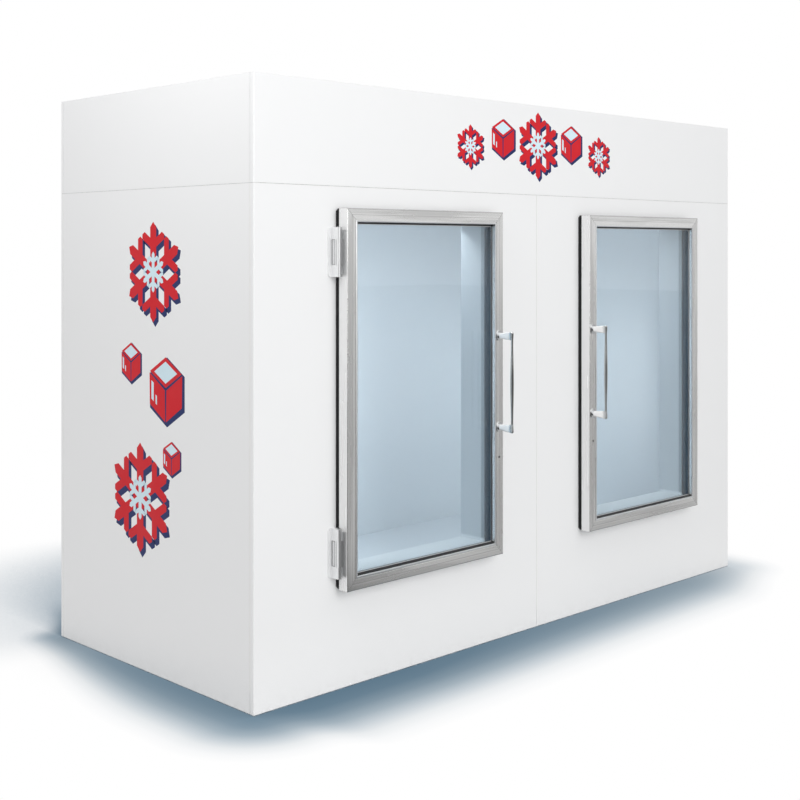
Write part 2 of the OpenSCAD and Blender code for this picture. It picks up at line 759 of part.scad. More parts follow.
// The grip: a spindle, fullest in the middle and slimmest near its ends
module grip() {
    end_r = handle_waist_d / 2;
    half = handle_len / 2 - end_r;
    steps = 28;
    waist_at = 0.8;                 // where the grip is slimmest, as a share of its half length
    middle_r = (handle_d + handle_waist_d) / 4;
    swell = (handle_d - handle_waist_d) / 4;
    edge = [for (i = [0:steps]) let (z = half * (2 * i / steps - 1))
        [middle_r + swell * cos(180 * z / (waist_at * half)), z]];
    rotate_extrude() polygon(concat([[0, -half]], edge, [[0, half]]));
}

module door_handle() color("#d4d7da")
    translate([door_w - frame_face / 2, frame_y[0], handle_z]) {
        grip_y = -handle_reach + handle_d / 2;
        end = handle_len / 2;
        foot_t = 3;
        foot_r = 13;
        foot_stretch = 4;           // half of the oval's straight sides
        leg_r = 9;                  // the leg's radius at its foot
        tip_r = 5.4;                // and where it meets the ends of the grip
        inner_r = 4.2;
        inner_reach = 24;           // how far along the grip the leg reaches from the end
        translate([0, grip_y, 0]) grip();
        for (side = [-1, 1]) {
            foot_z = side * (end - handle_foot_inset);
            translate([0, 0, foot_z]) rotate([90, 0, 0]) linear_extrude(foot_t) {
                for (e = [-1, 1]) translate([0, e * foot_stretch]) circle(foot_r);
                square([2 * foot_r, 2 * foot_stretch], center = true);
            }
            hull() {
                translate([0, 1 - foot_t, foot_z]) rotate([90, 0, 0])
                    cylinder(h = 1, r = leg_r, $fn = 32);
                translate([0, grip_y, side * (end - tip_r)]) sphere(tip_r, $fn = 24);
                translate([0, grip_y, side * (end - inner_reach)]) sphere(inner_r, $fn = 24);
            }
        }
    }

hinge_axis_y = frame_y[1] - hinge_axis_out;
barrel_share = 74;                  // the stretch of a hinge that the strap's barrel fills
arm_h = (hinge_h - barrel_share) / 2;

module at_hinges() {
    for (z = [lower_hinge_rise, door_h - upper_hinge_drop]) translate([0, 0, z]) children();
}

// The leaf screwed to the cabinet. It has a knuckle at each end and a saddle behind the strap's barrel
module hinge_bracket() {
    corner = 9;
    plate_t = 4;
    edge_gap = 4;                   // from the door's edge to the leaf
    x = [-hinge_leaf_w - edge_gap, -edge_gap];
    h = hinge_h / 2;
    block_x = [-hinge_offset - knuckle_r, -hinge_offset + knuckle_r];
    recess = 1.2;
    difference() {
        union() {
            rotate([90, 0, 0]) linear_extrude(plate_t) union() {
                for (z = [-h + corner, h - corner]) translate([x[0] + corner, z]) circle(corner);
                span2([x[0], x[1]], [corner - h, h - corner]);
                span2([x[0] + corner, x[1]], [-h, h]);
            }
            for (z = [-h, h - arm_h]) translate([0, 0, z]) linear_extrude(arm_h) {
                translate([-hinge_offset, hinge_axis_y]) circle(knuckle_r);
                span2(block_x, [hinge_axis_y, -cut]);
            }
            translate([0, 0, -barrel_share / 2 - cut]) linear_extrude(barrel_share + 2 * cut)
                difference() {
                    span2(block_x, [hinge_axis_y, -cut]);
                    translate([-hinge_offset, hinge_axis_y]) circle(knuckle_r + 0.5);
                }
        }
        translate([-hinge_offset, hinge_axis_y, -hinge_h])
            cylinder(h = 2 * hinge_h, r = pin_r + shaft_play);
        span([block_x[0] - cut, block_x[0] + recess], [hinge_axis_y + knuckle_r + 2, -plate_t - 3],
             [-barrel_share / 2 + 2, barrel_share / 2 - 2]);
    }
}

module hinge_brackets() color(zinc) mirrored_x() at_left_door() at_hinges() hinge_bracket();

module hinge_pins() color(steel) mirrored_x() at_left_door() at_hinges()
    translate([-hinge_offset, hinge_axis_y, -hinge_h / 2]) {
        cylinder(h = hinge_h, r = pin_r);
        translate([0, 0, hinge_h]) cylinder(h = 2, r = pin_r + 2);      // head
    }

// The strap on the door's edge, its barrel between the bracket's knuckles
module hinge_strap() {
    barrel_h = barrel_share - 2 * seat_gap;
    barrel_r = knuckle_r - 0.5;
    strap_t = 3;
    strap_y = [frame_y[0] + 4, frame_y[1] - 3];
    end_inset = 8;
    difference() {
        union() {
            span([-strap_t, 0], strap_y, [-hinge_h / 2 + end_inset, hinge_h / 2 - end_inset]);
            translate([0, 0, -barrel_h / 2]) linear_extrude(barrel_h) {
                translate([-hinge_offset, hinge_axis_y]) circle(barrel_r);
                span2([-hinge_offset, -cut], [hinge_axis_y - barrel_r, hinge_axis_y - 1]);
            }
        }
        translate([-hinge_offset, hinge_axis_y, -hinge_h])
            cylinder(h = 2 * hinge_h, r = pin_r + shaft_play);
    }
}

module hinge_straps() color(zinc) at_hinges() hinge_strap();

module left_door_frame() at_left_door() door_frame();
module left_door_inner_frame() at_left_door() door_inner_frame();
module left_door_panes() at_left_door() door_panes();
module left_door_spacer() at_left_door() door_spacer();
module left_door_gasket() at_left_door() door_gasket();
module left_door_handle() at_left_door() door_handle();
module left_hinge_straps() at_left_door() hinge_straps();
module right_door_frame() mirror([1, 0, 0]) left_door_frame();
module right_door_inner_frame() mirror([1, 0, 0]) left_door_inner_frame();
module right_door_panes() mirror([1, 0, 0]) left_door_panes();
module right_door_spacer() mirror([1, 0, 0]) left_door_spacer();
module right_door_gasket() mirror([1, 0, 0]) left_door_gasket();
module right_door_handle() mirror([1, 0, 0]) left_door_handle();
module right_hinge_straps() mirror([1, 0, 0]) left_hinge_straps();

// ---- condensing unit ----

// A plate on two runners
module unit_tray() color(zinc) translate([tray_x, middle_y, box_top]) {
    plate_t = 3;
    runner_w = 40;
    translate([-tray_w / 2, -tray_d / 2, tray_h - plate_t]) cube([tray_w, tray_d, plate_t]);
    for (x = [-tray_w / 2, tray_w / 2 - runner_w]) translate([x, -tray_d / 2, 0])
        cube([runner_w, tray_d, tray_h - plate_t - seat_gap]);
}

module compressor() color(black) translate([compressor_x, compressor_y, compressor_z]) {
    shoulder = compressor_shoulder;
    foot_h = 22;
    seam_z = 100;
    seam_h = 5;
    base_t = 4;
    cylinder(h = foot_h, r1 = compressor_r - 16, r2 = compressor_r);
    translate([0, 0, foot_h - 2]) cylinder(h = shoulder - foot_h + 2, r = compressor_r);
    translate([0, 0, seam_z]) cylinder(h = seam_h, r = compressor_r + 5);
    intersection() {
        translate([0, 0, dome_z]) sphere(dome_r);
        translate([0, 0, shoulder - 2]) cylinder(h = 2 * compressor_r, r = compressor_r);
    }
    linear_extrude(base_t) rounded_rect(2 * compressor_r + 36, 2 * compressor_r - 10, 18);
}

module compressor_mounts() color(black) for (sx = [-1, 1], sy = [-1, 1])
    translate([compressor_x + sx * (compressor_r + 2), compressor_y + sy * (compressor_r - 22),
               tray_top]) cylinder(h = mount_h, r = 13);

module terminal_cover() color("#303335") {
    out = 12;           // from the shell to the middle of the cover
    size = [64, 40, 70];
    translate([compressor_x, compressor_y, compressor_z + 30]) difference() {
        translate([0, -compressor_r - out, 0]) linear_extrude(size[2])
            rounded_rect(size[0], size[1], 6);
        translate([0, 0, -cut]) cylinder(h = size[2] + 2 * cut, r = compressor_r + seat_gap);
    }
}

module condenser_coil() color("#9a9da0")
    finned_coil(cond_x, cond_y, [tray_top, tray_top + cond_h], 12, cond_columns, cond_levels,
                cond_tube_r, 1);

module condenser_shroud() color(zinc) {
    wall = 1.5;
    fan_clear = 6;
    y = [cond_y[0] - shroud_depth, cond_y[0]];
    z = [tray_top, tray_top + cond_h];
    difference() {
        span(cond_x, y, z);
        span([cond_x[0] + wall, cond_x[1] - wall], [y[0] + wall, y[1] + cut],
             [z[0] + wall, z[1] - wall]);
        translate([cond_mid_x, y[1], cond_fan_z]) rotate([90, 0, 0])
            cylinder(h = shroud_depth + cut, r = condenser_fan_d / 2 + fan_clear);
    }
}

module at_condenser_fan() {
    translate([cond_mid_x, cond_fan_y, cond_fan_z]) rotate([90, 0, 0]) children();
}

module condenser_fan() color(steel) at_condenser_fan() fan(condenser_fan_d, 5);

module at_evaporator_fan(i) {
    translate([evap_fan_x[i], evap_fan_y, evap_fan_z]) children();
}

module left_evaporator_fan() color(steel) at_evaporator_fan(0) fan(evap_fan_d, 4);
module right_evaporator_fan() color(steel) at_evaporator_fan(1) fan(evap_fan_d, 4);

module fan_motors() color("#55595c") {
    arm_clear = 12;     // from a fan's sweep out to the motor's arms
    at_condenser_fan() fan_motor(38, 52, 34, condenser_fan_d / 2 + arm_clear, shroud_fan_inset);
    for (i = [0, 1]) at_evaporator_fan(i) fan_motor(34, 46, 28, evap_fan_d / 2 + arm_clear, -evap_fan_lift);
}

drier_x = tray_x + 40;
drier_y = middle_y - tray_d / 2 + 45;
drier_z = tray_top + 40;

module filter_drier() color(copper) translate([drier_x, drier_y, drier_z]) rotate([0, 90, 0]) {
    body_h = 90;
    neck_h = 14;
    neck_r = 4;
    body_r = 14;
    cylinder(h = body_h, r = body_r);
    translate([0, 0, -neck_h]) cylinder(h = neck_h, r1 = neck_r, r2 = body_r);
    translate([0, 0, body_h]) cylinder(h = neck_h, r1 = body_r, r2 = neck_r);
}

module refrigerant_lines() color(copper) {
    wall_x = evap_x - evap_w / 2;
    suction_r = 6;
    line_r = 4;
    bend = 16;
    stub = 20;
    shell_top = compressor_z + dome_z
        + sqrt(dome_r * dome_r - pow(stub * sqrt(2) - suction_r, 2));
    high = box_top + 245;
    suction_z = box_top + 150;
    suction_y = evap_y - 40;
    // suction line: from the evaporator housing to the compressor
    tube_along([[wall_x, suction_y, suction_z], [wall_x - 90, suction_y, suction_z],
                [wall_x - 90, suction_y, high], [compressor_x + stub, suction_y, high],
                [compressor_x + stub, compressor_y + stub, high],
                [compressor_x + stub, compressor_y + stub, shell_top]], suction_r, bend);
    // hot gas line: from the compressor to the condenser's first tube
    gas_x = cond_x[1] + 44;
    gas_z = compressor_z + 75;
    inlet = [cond_x[1] + coil_stub, cond_y[1] - cond_step_y / 2, tray_top + cond_h - cond_step_z / 2];
    tube_along([[compressor_x - compressor_r, compressor_y, gas_z], [gas_x, compressor_y, gas_z],
                [gas_x, inlet[1], gas_z], [gas_x, inlet[1], inlet[2]], inlet], line_r, bend);
    // liquid line: from the condenser's last tube to the drier, and on to the evaporator
    outlet = [cond_x[1] + coil_stub, cond_y[0] + cond_step_y / 2, tray_top + cond_step_z / 2];
    down_x = cond_x[1] + 30;
    tube_along([outlet, [down_x, outlet[1], outlet[2]], [down_x, drier_y, outlet[2]],
                [down_x, drier_y, drier_z], [drier_x - 14, drier_y, drier_z]], line_r, 8);
    liquid_y = evap_y - evap_d / 2 + 90;
    liquid_z = box_top + 120;
    tube_along([[drier_x + 104, drier_y, drier_z], [wall_x - 60, drier_y, drier_z],
                [wall_x - 60, liquid_y, drier_z], [wall_x - 60, liquid_y, liquid_z],
                [wall_x, liquid_y, liquid_z]], line_r, bend);
}

module control_box() color("#dcdedf") {
    wall = 1.5;
    lip = 3;            // how far the cover stands out round the box
    z = [box_top, box_top + control_h];
    difference() {
        span(control_x, control_y, z);
        span([control_x[0] + wall, control_x[1] - wall], [control_y[0] - cut, control_y[1] - wall],
             [z[0] + wall, z[1] - wall]);
    }
    span([control_x[0] - lip, control_x[1] + lip], [control_y[0] - lip, control_y[0] - seat_gap],
         [z[0], z[1] + lip]);
}

module cord_bushing() color(black) translate([cord_x, y_back, cord_z]) rotate([90, 0, 0]) {
    length = 12;
    sleeve_r = cord_hole_r + bushing_wall - shaft_play;
    difference() {
        union() {
            cylinder(h = length, r = sleeve_r);
            translate([0, 0, skin_t]) cylinder(h = 4, r = sleeve_r + 4);    // collar inside
        }
        translate([0, 0, -cut]) cylinder(h = length + 2 * cut, r = cord_hole_r);
    }
}

// ---- evaporator ----

module evaporator_housing() color(white) difference() {
    x = [evap_x - evap_w / 2, evap_x + evap_w / 2];
    y = [evap_y - evap_d / 2, evap_y + evap_d / 2];
    z = [box_top, box_top + evap_h - evap_wall];
    flange = 18;
    flange_t = 2;
    joint = seat_gap / 2;
    union() {
        for (end = [0, 1]) {
            // front and back panels, over the full width
            span(x, end ? [duct_y[1], y[1]] : [y[0], duct_y[0]], z);
            span([x[0] - flange, x[1] + flange],
                 end ? [duct_y[1], y[1] + flange] : [y[0] - flange, duct_y[0]],
                 [z[0], z[0] + flange_t]);
            // side panels between them
            side_y = [duct_y[0] + joint, duct_y[1] - joint];
            span(end ? [duct_x[1], x[1]] : [x[0], duct_x[0]], side_y, z);
            span(end ? [duct_x[1], x[1] + flange] : [x[0] - flange, duct_x[0]], side_y,
                 [z[0], z[0] + flange_t]);
        }
    }
    translate([spout_x, y[1], spout_z]) rotate([90, 0, 0])
        cylinder(h = 3 * evap_wall, r = spout_r + seat_gap, center = true);
}

module evaporator_lid() color(white)
    translate([evap_x, evap_y, box_top + evap_h - evap_wall]) {
        plug_h = 8;         // the step that drops into the housing
        linear_extrude(evap_wall) rounded_rect(evap_w, evap_d, 20);
        translate([0, 0, -plug_h]) linear_extrude(plug_h + cut)
            square([duct_x[1] - duct_x[0] - 2 * seat_gap, duct_y[1] - duct_y[0] - 2 * seat_gap],
                   center = true);
    }

// Its end plates stand on the floor of the drain pan
module evaporator_coil() color("#b4b8bb")
    finned_coil([duct_x[0] + coil_end_room, duct_x[1] - coil_end_room], coil_y, coil_z, 20, 3, 4, 5,
                -1, coil_z[0] - pan_z[0] - pan_wall);

// Under the evaporator coil, with an outlet tube through the housing to the back panel
module drain_pan() color(steel) {
    x = [duct_x[0] + seat_gap, duct_x[1] - seat_gap];
    tube_l = y_back - pan_y[1];
    difference() {
        union() {
            span(x, pan_y, pan_z);
            translate([spout_x, y_back, spout_z]) rotate([90, 0, 0])
                cylinder(h = tube_l + cut, r = spout_r);
        }
        span([x[0] + pan_wall, x[1] - pan_wall], [pan_y[0] + pan_wall, pan_y[1] - pan_wall],
             [pan_z[0] + pan_wall, pan_z[1] + cut]);
        translate([spout_x, y_back + cut, spout_z]) rotate([90, 0, 0])
            cylinder(h = tube_l + 3 * cut, r = spout_r - pan_wall);
    }
}

module fan_deck() color(zinc) difference() {
    z = [deck_z - cut, deck_z + deck_t + cut];
    fan_clear = 5;
    return_x = [duct_x[0] + 40, duct_x[1] - 40];
    return_y = [duct_y[1] - 190, duct_y[1] - 40];
    span([duct_x[0] + seat_gap, duct_x[1] - seat_gap], [duct_y[0] + seat_gap, duct_y[1] - seat_gap],
         [deck_z, deck_z + deck_t]);
    for (x = evap_fan_x) translate([x, evap_fan_y, z[0]])
        cylinder(h = z[1] - z[0], r = evap_fan_d / 2 + fan_clear);
    span(return_x, return_y, z);
}

// Four border strips with sloping blades between the side strips, each a piece of its own
module ceiling_grille() color("#e6e9eb") {
    overlap = 10;
    border = 20;
    depth = 9;
    blades = 22;
    blade_t = 2;
    blade_w = 14;
    slope = 25;
    joint = seat_gap / 2;
    x = [duct_x[0] - overlap, duct_x[1] + overlap];
    y = [duct_y[0] - overlap, duct_y[1] + overlap];
    z = [ceiling_z - depth, ceiling_z];
    open_x = [x[0] + border + joint, x[1] - border - joint];
    pitch = (y[1] - y[0] - 2 * border) / (blades + 1);
    for (end = [0, 1]) {
        span(end ? [x[1] - border, x[1]] : [x[0], x[0] + border], y, z);
        span(open_x, end ? [y[1] - border, y[1]] : [y[0], y[0] + border], z);
    }
    for (i = [1:blades])
        translate([open_x[0], y[0] + border + i * pitch, (z[0] + z[1]) / 2]) rotate([slope, 0, 0])
            translate([0, -blade_w / 2, -blade_t / 2])
                cube([open_x[1] - open_x[0], blade_w, blade_t]);
}

// ---- output ----

base_rails();
base_pan();
side_panels();
back_panel();
left_front_panel();
right_front_panel();
roof_panel();
floor_insulation();
roof_insulation();
back_insulation();
side_insulation();
front_insulation();
wall_liner();
floor_liner();
ceiling_liner();
front_liner();
door_jambs();
header_front();
header_sides();
header_back();
header_posts();
interior_light();
light_lens();
floor_drain();
unit_tray();
compressor();
compressor_mounts();
terminal_cover();
condenser_coil();
condenser_shroud();
fan_motors();
condenser_fan();
filter_drier();
refrigerant_lines();
control_box();
cord_bushing();
evaporator_housing();
evaporator_lid();
evaporator_coil();
fan_deck();
left_evaporator_fan();
right_evaporator_fan();
ceiling_grille();
drain_pan();
hinge_brackets();
hinge_pins();
left_door_frame();
left_door_inner_frame();
left_door_panes();
left_door_spacer();
left_door_gasket();
left_door_handle();
left_hinge_straps();
right_door_frame();
right_door_inner_frame();
right_door_panes();
right_door_spacer();
right_door_gasket();
right_door_handle();
right_hinge_straps();
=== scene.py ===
import json
import math

import bmesh
import bpy
from mathutils import Matrix, Vector


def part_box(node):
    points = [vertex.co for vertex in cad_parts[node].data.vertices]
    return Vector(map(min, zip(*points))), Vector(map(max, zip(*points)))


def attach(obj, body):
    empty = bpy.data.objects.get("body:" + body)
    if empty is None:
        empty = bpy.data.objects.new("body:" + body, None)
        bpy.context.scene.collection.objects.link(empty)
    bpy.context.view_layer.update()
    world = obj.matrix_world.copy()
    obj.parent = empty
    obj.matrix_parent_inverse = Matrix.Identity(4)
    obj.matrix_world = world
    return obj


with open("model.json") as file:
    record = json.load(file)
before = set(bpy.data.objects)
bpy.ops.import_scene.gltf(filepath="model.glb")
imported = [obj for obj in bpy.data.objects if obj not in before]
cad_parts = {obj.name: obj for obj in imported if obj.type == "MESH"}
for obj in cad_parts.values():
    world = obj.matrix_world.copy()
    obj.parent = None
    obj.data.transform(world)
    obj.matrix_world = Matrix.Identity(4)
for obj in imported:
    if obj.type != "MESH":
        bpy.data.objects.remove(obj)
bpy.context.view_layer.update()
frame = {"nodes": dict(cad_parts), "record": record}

scene = bpy.context.scene
scene.view_settings.view_transform = "Standard"

# ---- camera -------------------------------------------------------------------------------------

camera = bpy.data.objects.new("camera", bpy.data.cameras.new("camera"))
scene.collection.objects.link(camera)
camera.location = (-3.3630, -3.2417, 1.2691)
camera.rotation_euler = (math.radians(90), 0, math.radians(-44.34))
camera.data.sensor_width = 36
camera.data.lens = 58.28
camera.data.shift_y = -0.1889
scene.camera = camera


# ---- node helpers -------------------------------------------------------------------------------

class Nodes:
    """A node tree that is written as nested calls. An input is a number, a colour or another node's output."""

    def __init__(self, tree):
        self.tree = tree
        tree.nodes.clear()

    def add(self, kind, inputs=None, **settings):
        node = self.tree.nodes.new("ShaderNode" + kind)
        for key, value in settings.items():
            setattr(node, key, value)
        for key, value in (inputs or {}).items():
            if isinstance(value, bpy.types.NodeSocket):
                self.tree.links.new(value, node.inputs[key])
            else:
                if isinstance(value, tuple) and len(value) == 3 and node.inputs[key].type == "RGBA":
                    value = (*value, 1)
                node.inputs[key].default_value = value
        return node

    def place(self, scale=(1, 1, 1)):
        """Object coordinates, which are metres in the object's frame, stretched by scale."""
        at = self.add("TexCoord").outputs["Object"]
        return at if scale == (1, 1, 1) else self.add("Mapping", {"Vector": at, "Scale": scale}).outputs[0]

    def noise(self, scale, detail=2.0, rough=0.5, at=None):
        return self.add("TexNoise", {"Vector": at or self.place(), "Scale": scale, "Detail": detail,
                                     "Roughness": rough}).outputs["Fac"]

    def cells(self, scale, feature="F1", output="Distance"):
        return self.add("TexVoronoi", {"Vector": self.place(), "Scale": scale}, feature=feature).outputs[output]

    def math(self, operation, *values):
        return self.add("Math", dict(enumerate(values)), operation=operation).outputs[0]

    def span(self, value, low, high, to_low=0.0, to_high=1.0):
        """value from low to high becomes to_low to to_high, smoothly, and stays there outside."""
        return self.add("MapRange", {0: value, 1: low, 2: high, 3: to_low, 4: to_high},
                        interpolation_type="SMOOTHSTEP").outputs[0]

    def mix(self, share, a, b, blend="MIX"):
        return self.add("Mix", {0: share, 6: a, 7: b}, data_type="RGBA", blend_type=blend).outputs[2]

    def axes(self, at=None):
        return self.add("SeparateXYZ", {0: at or self.place()}).outputs

    def bump(self, height, strength, distance, normal=None):
        inputs = {"Height": height, "Strength": strength, "Distance": distance}
        if normal:
            inputs["Normal"] = normal
        return self.add("Bump", inputs).outputs[0]

    def surface(self, shader):
        self.add("OutputMaterial", {"Surface": shader.outputs[0]})

    def principled(self, **sockets):
        names = {"color": "Base Color", "rough": "Roughness", "metal": "Metallic", "normal": "Normal",
                 "ior": "IOR", "coat": "Coat Weight", "coat_rough": "Coat Roughness",
                 "specular": "Specular IOR Level", "through": "Transmission Weight",
                 "glow": "Emission Strength", "glow_color": "Emission Color"}
        return self.add("BsdfPrincipled", {names[k]: v for k, v in sockets.items()})


def material(name, build):
    made = bpy.data.materials.new(name)
    made.use_nodes = True
    nodes = Nodes(made.node_tree)
    nodes.surface(build(nodes))
    return made


# ---- materials ----------------------------------------------------------------------------------

SCUFFED_Z = 0.05         # feet and mops reach this high
LINER_SIDE_X = 1.080     # the side linings lie beyond this
JAMB_STRIP_Y = -0.440    # in front of this the jamb is covered by a darker strip
SILL_Z = 0.345           # the sill lies below this
HINGE_BARREL_Y = -0.486  # the hinges' barrels stand out past this
LEG_Y = -0.5095          # a handle's legs start here, in front of their feet
GRIP_Y = -0.5525         # a handle's grip lies in front of this
SHADED_BAND_W = 0.017           # width of the outer band of each bar of a door frame, painted duller as painted shade
GROOVE_SHADE_AT = 0.0190       # where a fine groove is drawn as a line of painted shade, as far in from the frame's edge
RIM_SHADE_AT = 0.0016   # middle of the line of painted shade along the rails' rolled rim, from the frame's edge


def white_paint(n):
    tone = n.mix(n.noise(0.9, 1), (0.866, 0.869, 0.873), (0.882, 0.885, 0.888))
    near_floor = n.span(n.axes()[2], 0.0, SCUFFED_Z, 1.0, 0.0)
    dust = n.math("MULTIPLY", near_floor, n.span(n.noise(38, 5, 0.65), 0.42, 0.75))
    tone = n.mix(n.math("MULTIPLY", dust, 0.16), tone, (0.60, 0.59, 0.57))
    rough = n.span(n.noise(5, 2), 0.3, 0.7, 0.31, 0.36)
    peel = n.bump(n.noise(520, 2), 0.06, 0.0002)
    return n.principled(color=tone, rough=rough, normal=n.bump(n.noise(1.4, 1), 0.03, 0.004, peel))


def liner_paint(n):
    tone = n.mix(n.noise(2.1, 3), (0.600, 0.655, 0.705), (0.630, 0.685, 0.730))
    # the side linings are painted paler than the back: painted light for the brighter light that falls on the side
    # walls
    side = n.span(n.math("ABSOLUTE", n.axes()[0]), LINER_SIDE_X, LINER_SIDE_X + 0.005)
    tone = n.mix(side, tone, (0.780, 0.835, 0.880))
    frost = n.span(n.noise(26, 6, 0.6), 0.45, 0.80)
    tone = n.mix(n.math("MULTIPLY", frost, 0.16), tone, (0.80, 0.85, 0.89))
    return n.principled(color=tone, rough=n.span(frost, 0.0, 1.0, 0.40, 0.62),
                        normal=n.bump(n.noise(300, 3), 0.10, 0.0003))


def jamb_plastic(n):
    y, z = n.axes()[1:]
    tone = n.mix(n.noise(5, 3), (0.490, 0.550, 0.605), (0.540, 0.600, 0.655))
    tone = n.mix(n.span(y, JAMB_STRIP_Y - 0.002, JAMB_STRIP_Y, 1.0, 0.0), tone, (0.310, 0.365, 0.415))
    # the sill, which faces up, is painted lighter: painted light on its upper face
    tone = n.mix(n.span(z, SILL_Z - 0.010, SILL_Z, 1.0, 0.0), tone, (0.74, 0.79, 0.83))
    return n.principled(color=tone, rough=n.span(n.noise(40, 3), 0.3, 0.7, 0.34, 0.46),
                        normal=n.bump(n.noise(700, 2), 0.10, 0.0002))


def zinc(n, dark, light, scale, low, high):
    """Hot-dip zinc: flat crystals of slightly different grey, with a dull film over them."""
    cell = n.cells(scale, output="Color")
    grey = n.axes(cell)[0]
    cloud = n.noise(6, 5, 0.6)
    tone = n.mix(grey, dark, light)
    tone = n.mix(n.span(cloud, 0.45, 0.75, 0.0, 0.35), tone, (0.50, 0.51, 0.52))
    rough = n.math("ADD", n.math("MULTIPLY", grey, high - low), n.span(cloud, 0.3, 0.8, low, low + 0.10))
    edge = n.bump(n.cells(scale, "DISTANCE_TO_EDGE"), 0.06, 0.0006)
    return n.principled(color=tone, rough=rough, metal=1.0, normal=n.bump(n.noise(500, 2), 0.08, 0.0002, edge))


def galvanised(n):
    return zinc(n, (0.44, 0.46, 0.48), (0.62, 0.64, 0.66), 95, 0.34, 0.50)


def foam(n):
    pores = n.cells(420)
    tone = n.mix(n.noise(9, 4), (0.80, 0.71, 0.47), (0.88, 0.80, 0.58))
    tone = n.mix(n.span(pores, 0.0, 0.55, 0.0, 0.30), tone, (0.92, 0.87, 0.70))
    return n.principled(color=tone, rough=0.9, specular=0.2, normal=n.bump(pores, 0.5, 0.0012))


def brushed(n, along, dark, light, low, high):
    """Brushed metal. along says for x, y and z whether the lines run that way."""
    lines = n.noise(1.0, 3, 0.6, n.place(tuple(4.0 if a else 1500.0 for a in along)))
    bands = n.noise(1.0, 3, 0.55, n.place(tuple(1.4 if a else 150.0 for a in along)))
    tone = n.mix(n.span(lines, 0.25, 0.75), dark, light)
    tone = n.mix(n.span(bands, 0.35, 0.70, 0.0, 0.40), tone, light)
    rough = n.span(lines, 0.3, 0.7, low, high)
    return n.principled(color=tone, rough=rough, metal=1.0, normal=n.bump(lines, 0.10, 0.0002))


def stainless(n):
    return brushed(n, (True, False, False), (0.50, 0.51, 0.52), (0.66, 0.67, 0.68), 0.24, 0.36)


def extruded_aluminium(n):
    return brushed(n, (True, False, False), (0.60, 0.61, 0.62), (0.74, 0.75, 0.76), 0.30, 0.42)


def lens_plastic(n):
    ribs = n.math("SINE", n.math("MULTIPLY", n.axes()[0], 1600.0))
    tone = n.mix(n.noise(12, 2), (0.90, 0.92, 0.92), (0.95, 0.96, 0.95))
    return n.principled(color=tone, rough=0.35, normal=n.bump(ribs, 0.25, 0.0004),
                        glow=2.2, glow_color=(0.95, 0.98, 1.0))


def dusty(n, amount, scale=14.0):
    """How much dust lies on a face: most on faces that look up."""
    up = n.axes(n.add("NewGeometry").outputs["Normal"])[2]
    patches = n.span(n.noise(scale, 6, 0.65), 0.30, 0.75, 0.35, 1.0)
    return n.math("MULTIPLY", n.math("MULTIPLY", n.span(up, 0.25, 1.0), patches), amount)


def black_enamel(n):
    tone = n.mix(n.noise(20, 3), (0.018, 0.018, 0.020), (0.034, 0.034, 0.037))
    dust = dusty(n, 0.35)
    tone = n.mix(dust, tone, (0.22, 0.21, 0.19))
    rough = n.math("ADD", n.span(n.noise(30, 3), 0.3, 0.7, 0.16, 0.24), n.math("MULTIPLY", dust, 0.6))
    return n.principled(color=tone, rough=rough, coat=0.4, coat_rough=0.10,
                        normal=n.bump(n.noise(240, 3), 0.18, 0.0005))


def rubber(n, tone=((0.012, 0.012, 0.013), (0.026, 0.026, 0.028)), grain=900.0, low=0.55, high=0.75):
    color = n.mix(n.noise(30, 4), tone[0], tone[1])
    return n.principled(color=color, rough=n.span(n.noise(60, 4), 0.3, 0.7, low, high), specular=0.35,
                        normal=n.bump(n.noise(grain, 3), 0.25, 0.0003))


def black_rubber(n):
    return rubber(n)


def gasket_rubber(n):
    return rubber(n, ((0.008, 0.008, 0.009), (0.018, 0.018, 0.020)), 1200.0, 0.42, 0.60)


def black_plastic(n):
    return rubber(n, ((0.026, 0.026, 0.028), (0.044, 0.044, 0.047)), 1500.0, 0.42, 0.58)


def fins(n):
    ripple = n.math("SINE", n.math("MULTIPLY", n.axes()[2], 900.0))
    tone = n.mix(n.noise(25, 4), (0.48, 0.50, 0.52), (0.62, 0.64, 0.66))
    tone = n.mix(dusty(n, 0.35), tone, (0.36, 0.34, 0.31))
    return n.principled(color=tone, rough=n.span(n.noise(50, 3), 0.3, 0.7, 0.38, 0.55), metal=1.0,
                        normal=n.bump(ripple, 0.25, 0.0006))


def fan_blades(n):
    tone = n.mix(n.noise(18, 5), (0.46, 0.48, 0.50), (0.60, 0.62, 0.64))
    tone = n.mix(n.span(n.noise(70, 5, 0.7), 0.52, 0.80, 0.0, 0.35), tone, (0.34, 0.33, 0.31))
    return n.principled(color=tone, rough=n.span(n.noise(44, 4), 0.3, 0.7, 0.34, 0.52), metal=1.0,
                        normal=n.bump(n.noise(350, 2), 0.10, 0.0003))


def copper_tube(n):
    patina = n.span(n.noise(22, 6, 0.65), 0.48, 0.74)
    tone = n.mix(n.noise(90, 3), (0.72, 0.36, 0.22), (0.80, 0.45, 0.29))
    tone = n.mix(n.math("MULTIPLY", patina, 0.75), tone, (0.36, 0.17, 0.10))
    return n.principled(color=tone, rough=n.span(patina, 0.0, 1.0, 0.20, 0.46), metal=1.0,
                        normal=n.bump(n.noise(260, 3), 0.10, 0.0003))


def cast_zinc(n):
    """Pearl-plated casting: a fine pale grain with a soft shine."""
    grain = n.noise(1100, 3, 0.6)
    tone = n.mix(n.noise(45, 4), (0.86, 0.865, 0.87), (0.92, 0.925, 0.93))
    tone = n.mix(n.span(grain, 0.55, 0.75, 0.0, 0.25), tone, (0.66, 0.67, 0.68))
    # the barrels and straps, which stand furthest out, are rubbed down to the bare grey casting
    bare = n.span(n.axes()[1], HINGE_BARREL_Y - 0.0025, HINGE_BARREL_Y, 1.0, 0.0)
    tone = n.mix(bare, tone, (0.56, 0.565, 0.57))
    return n.principled(color=tone, rough=n.span(grain, 0.3, 0.7, 0.26, 0.38),
                        metal=n.span(bare, 0.0, 1.0, 0.35, 0.85), normal=n.bump(grain, 0.12, 0.0003))


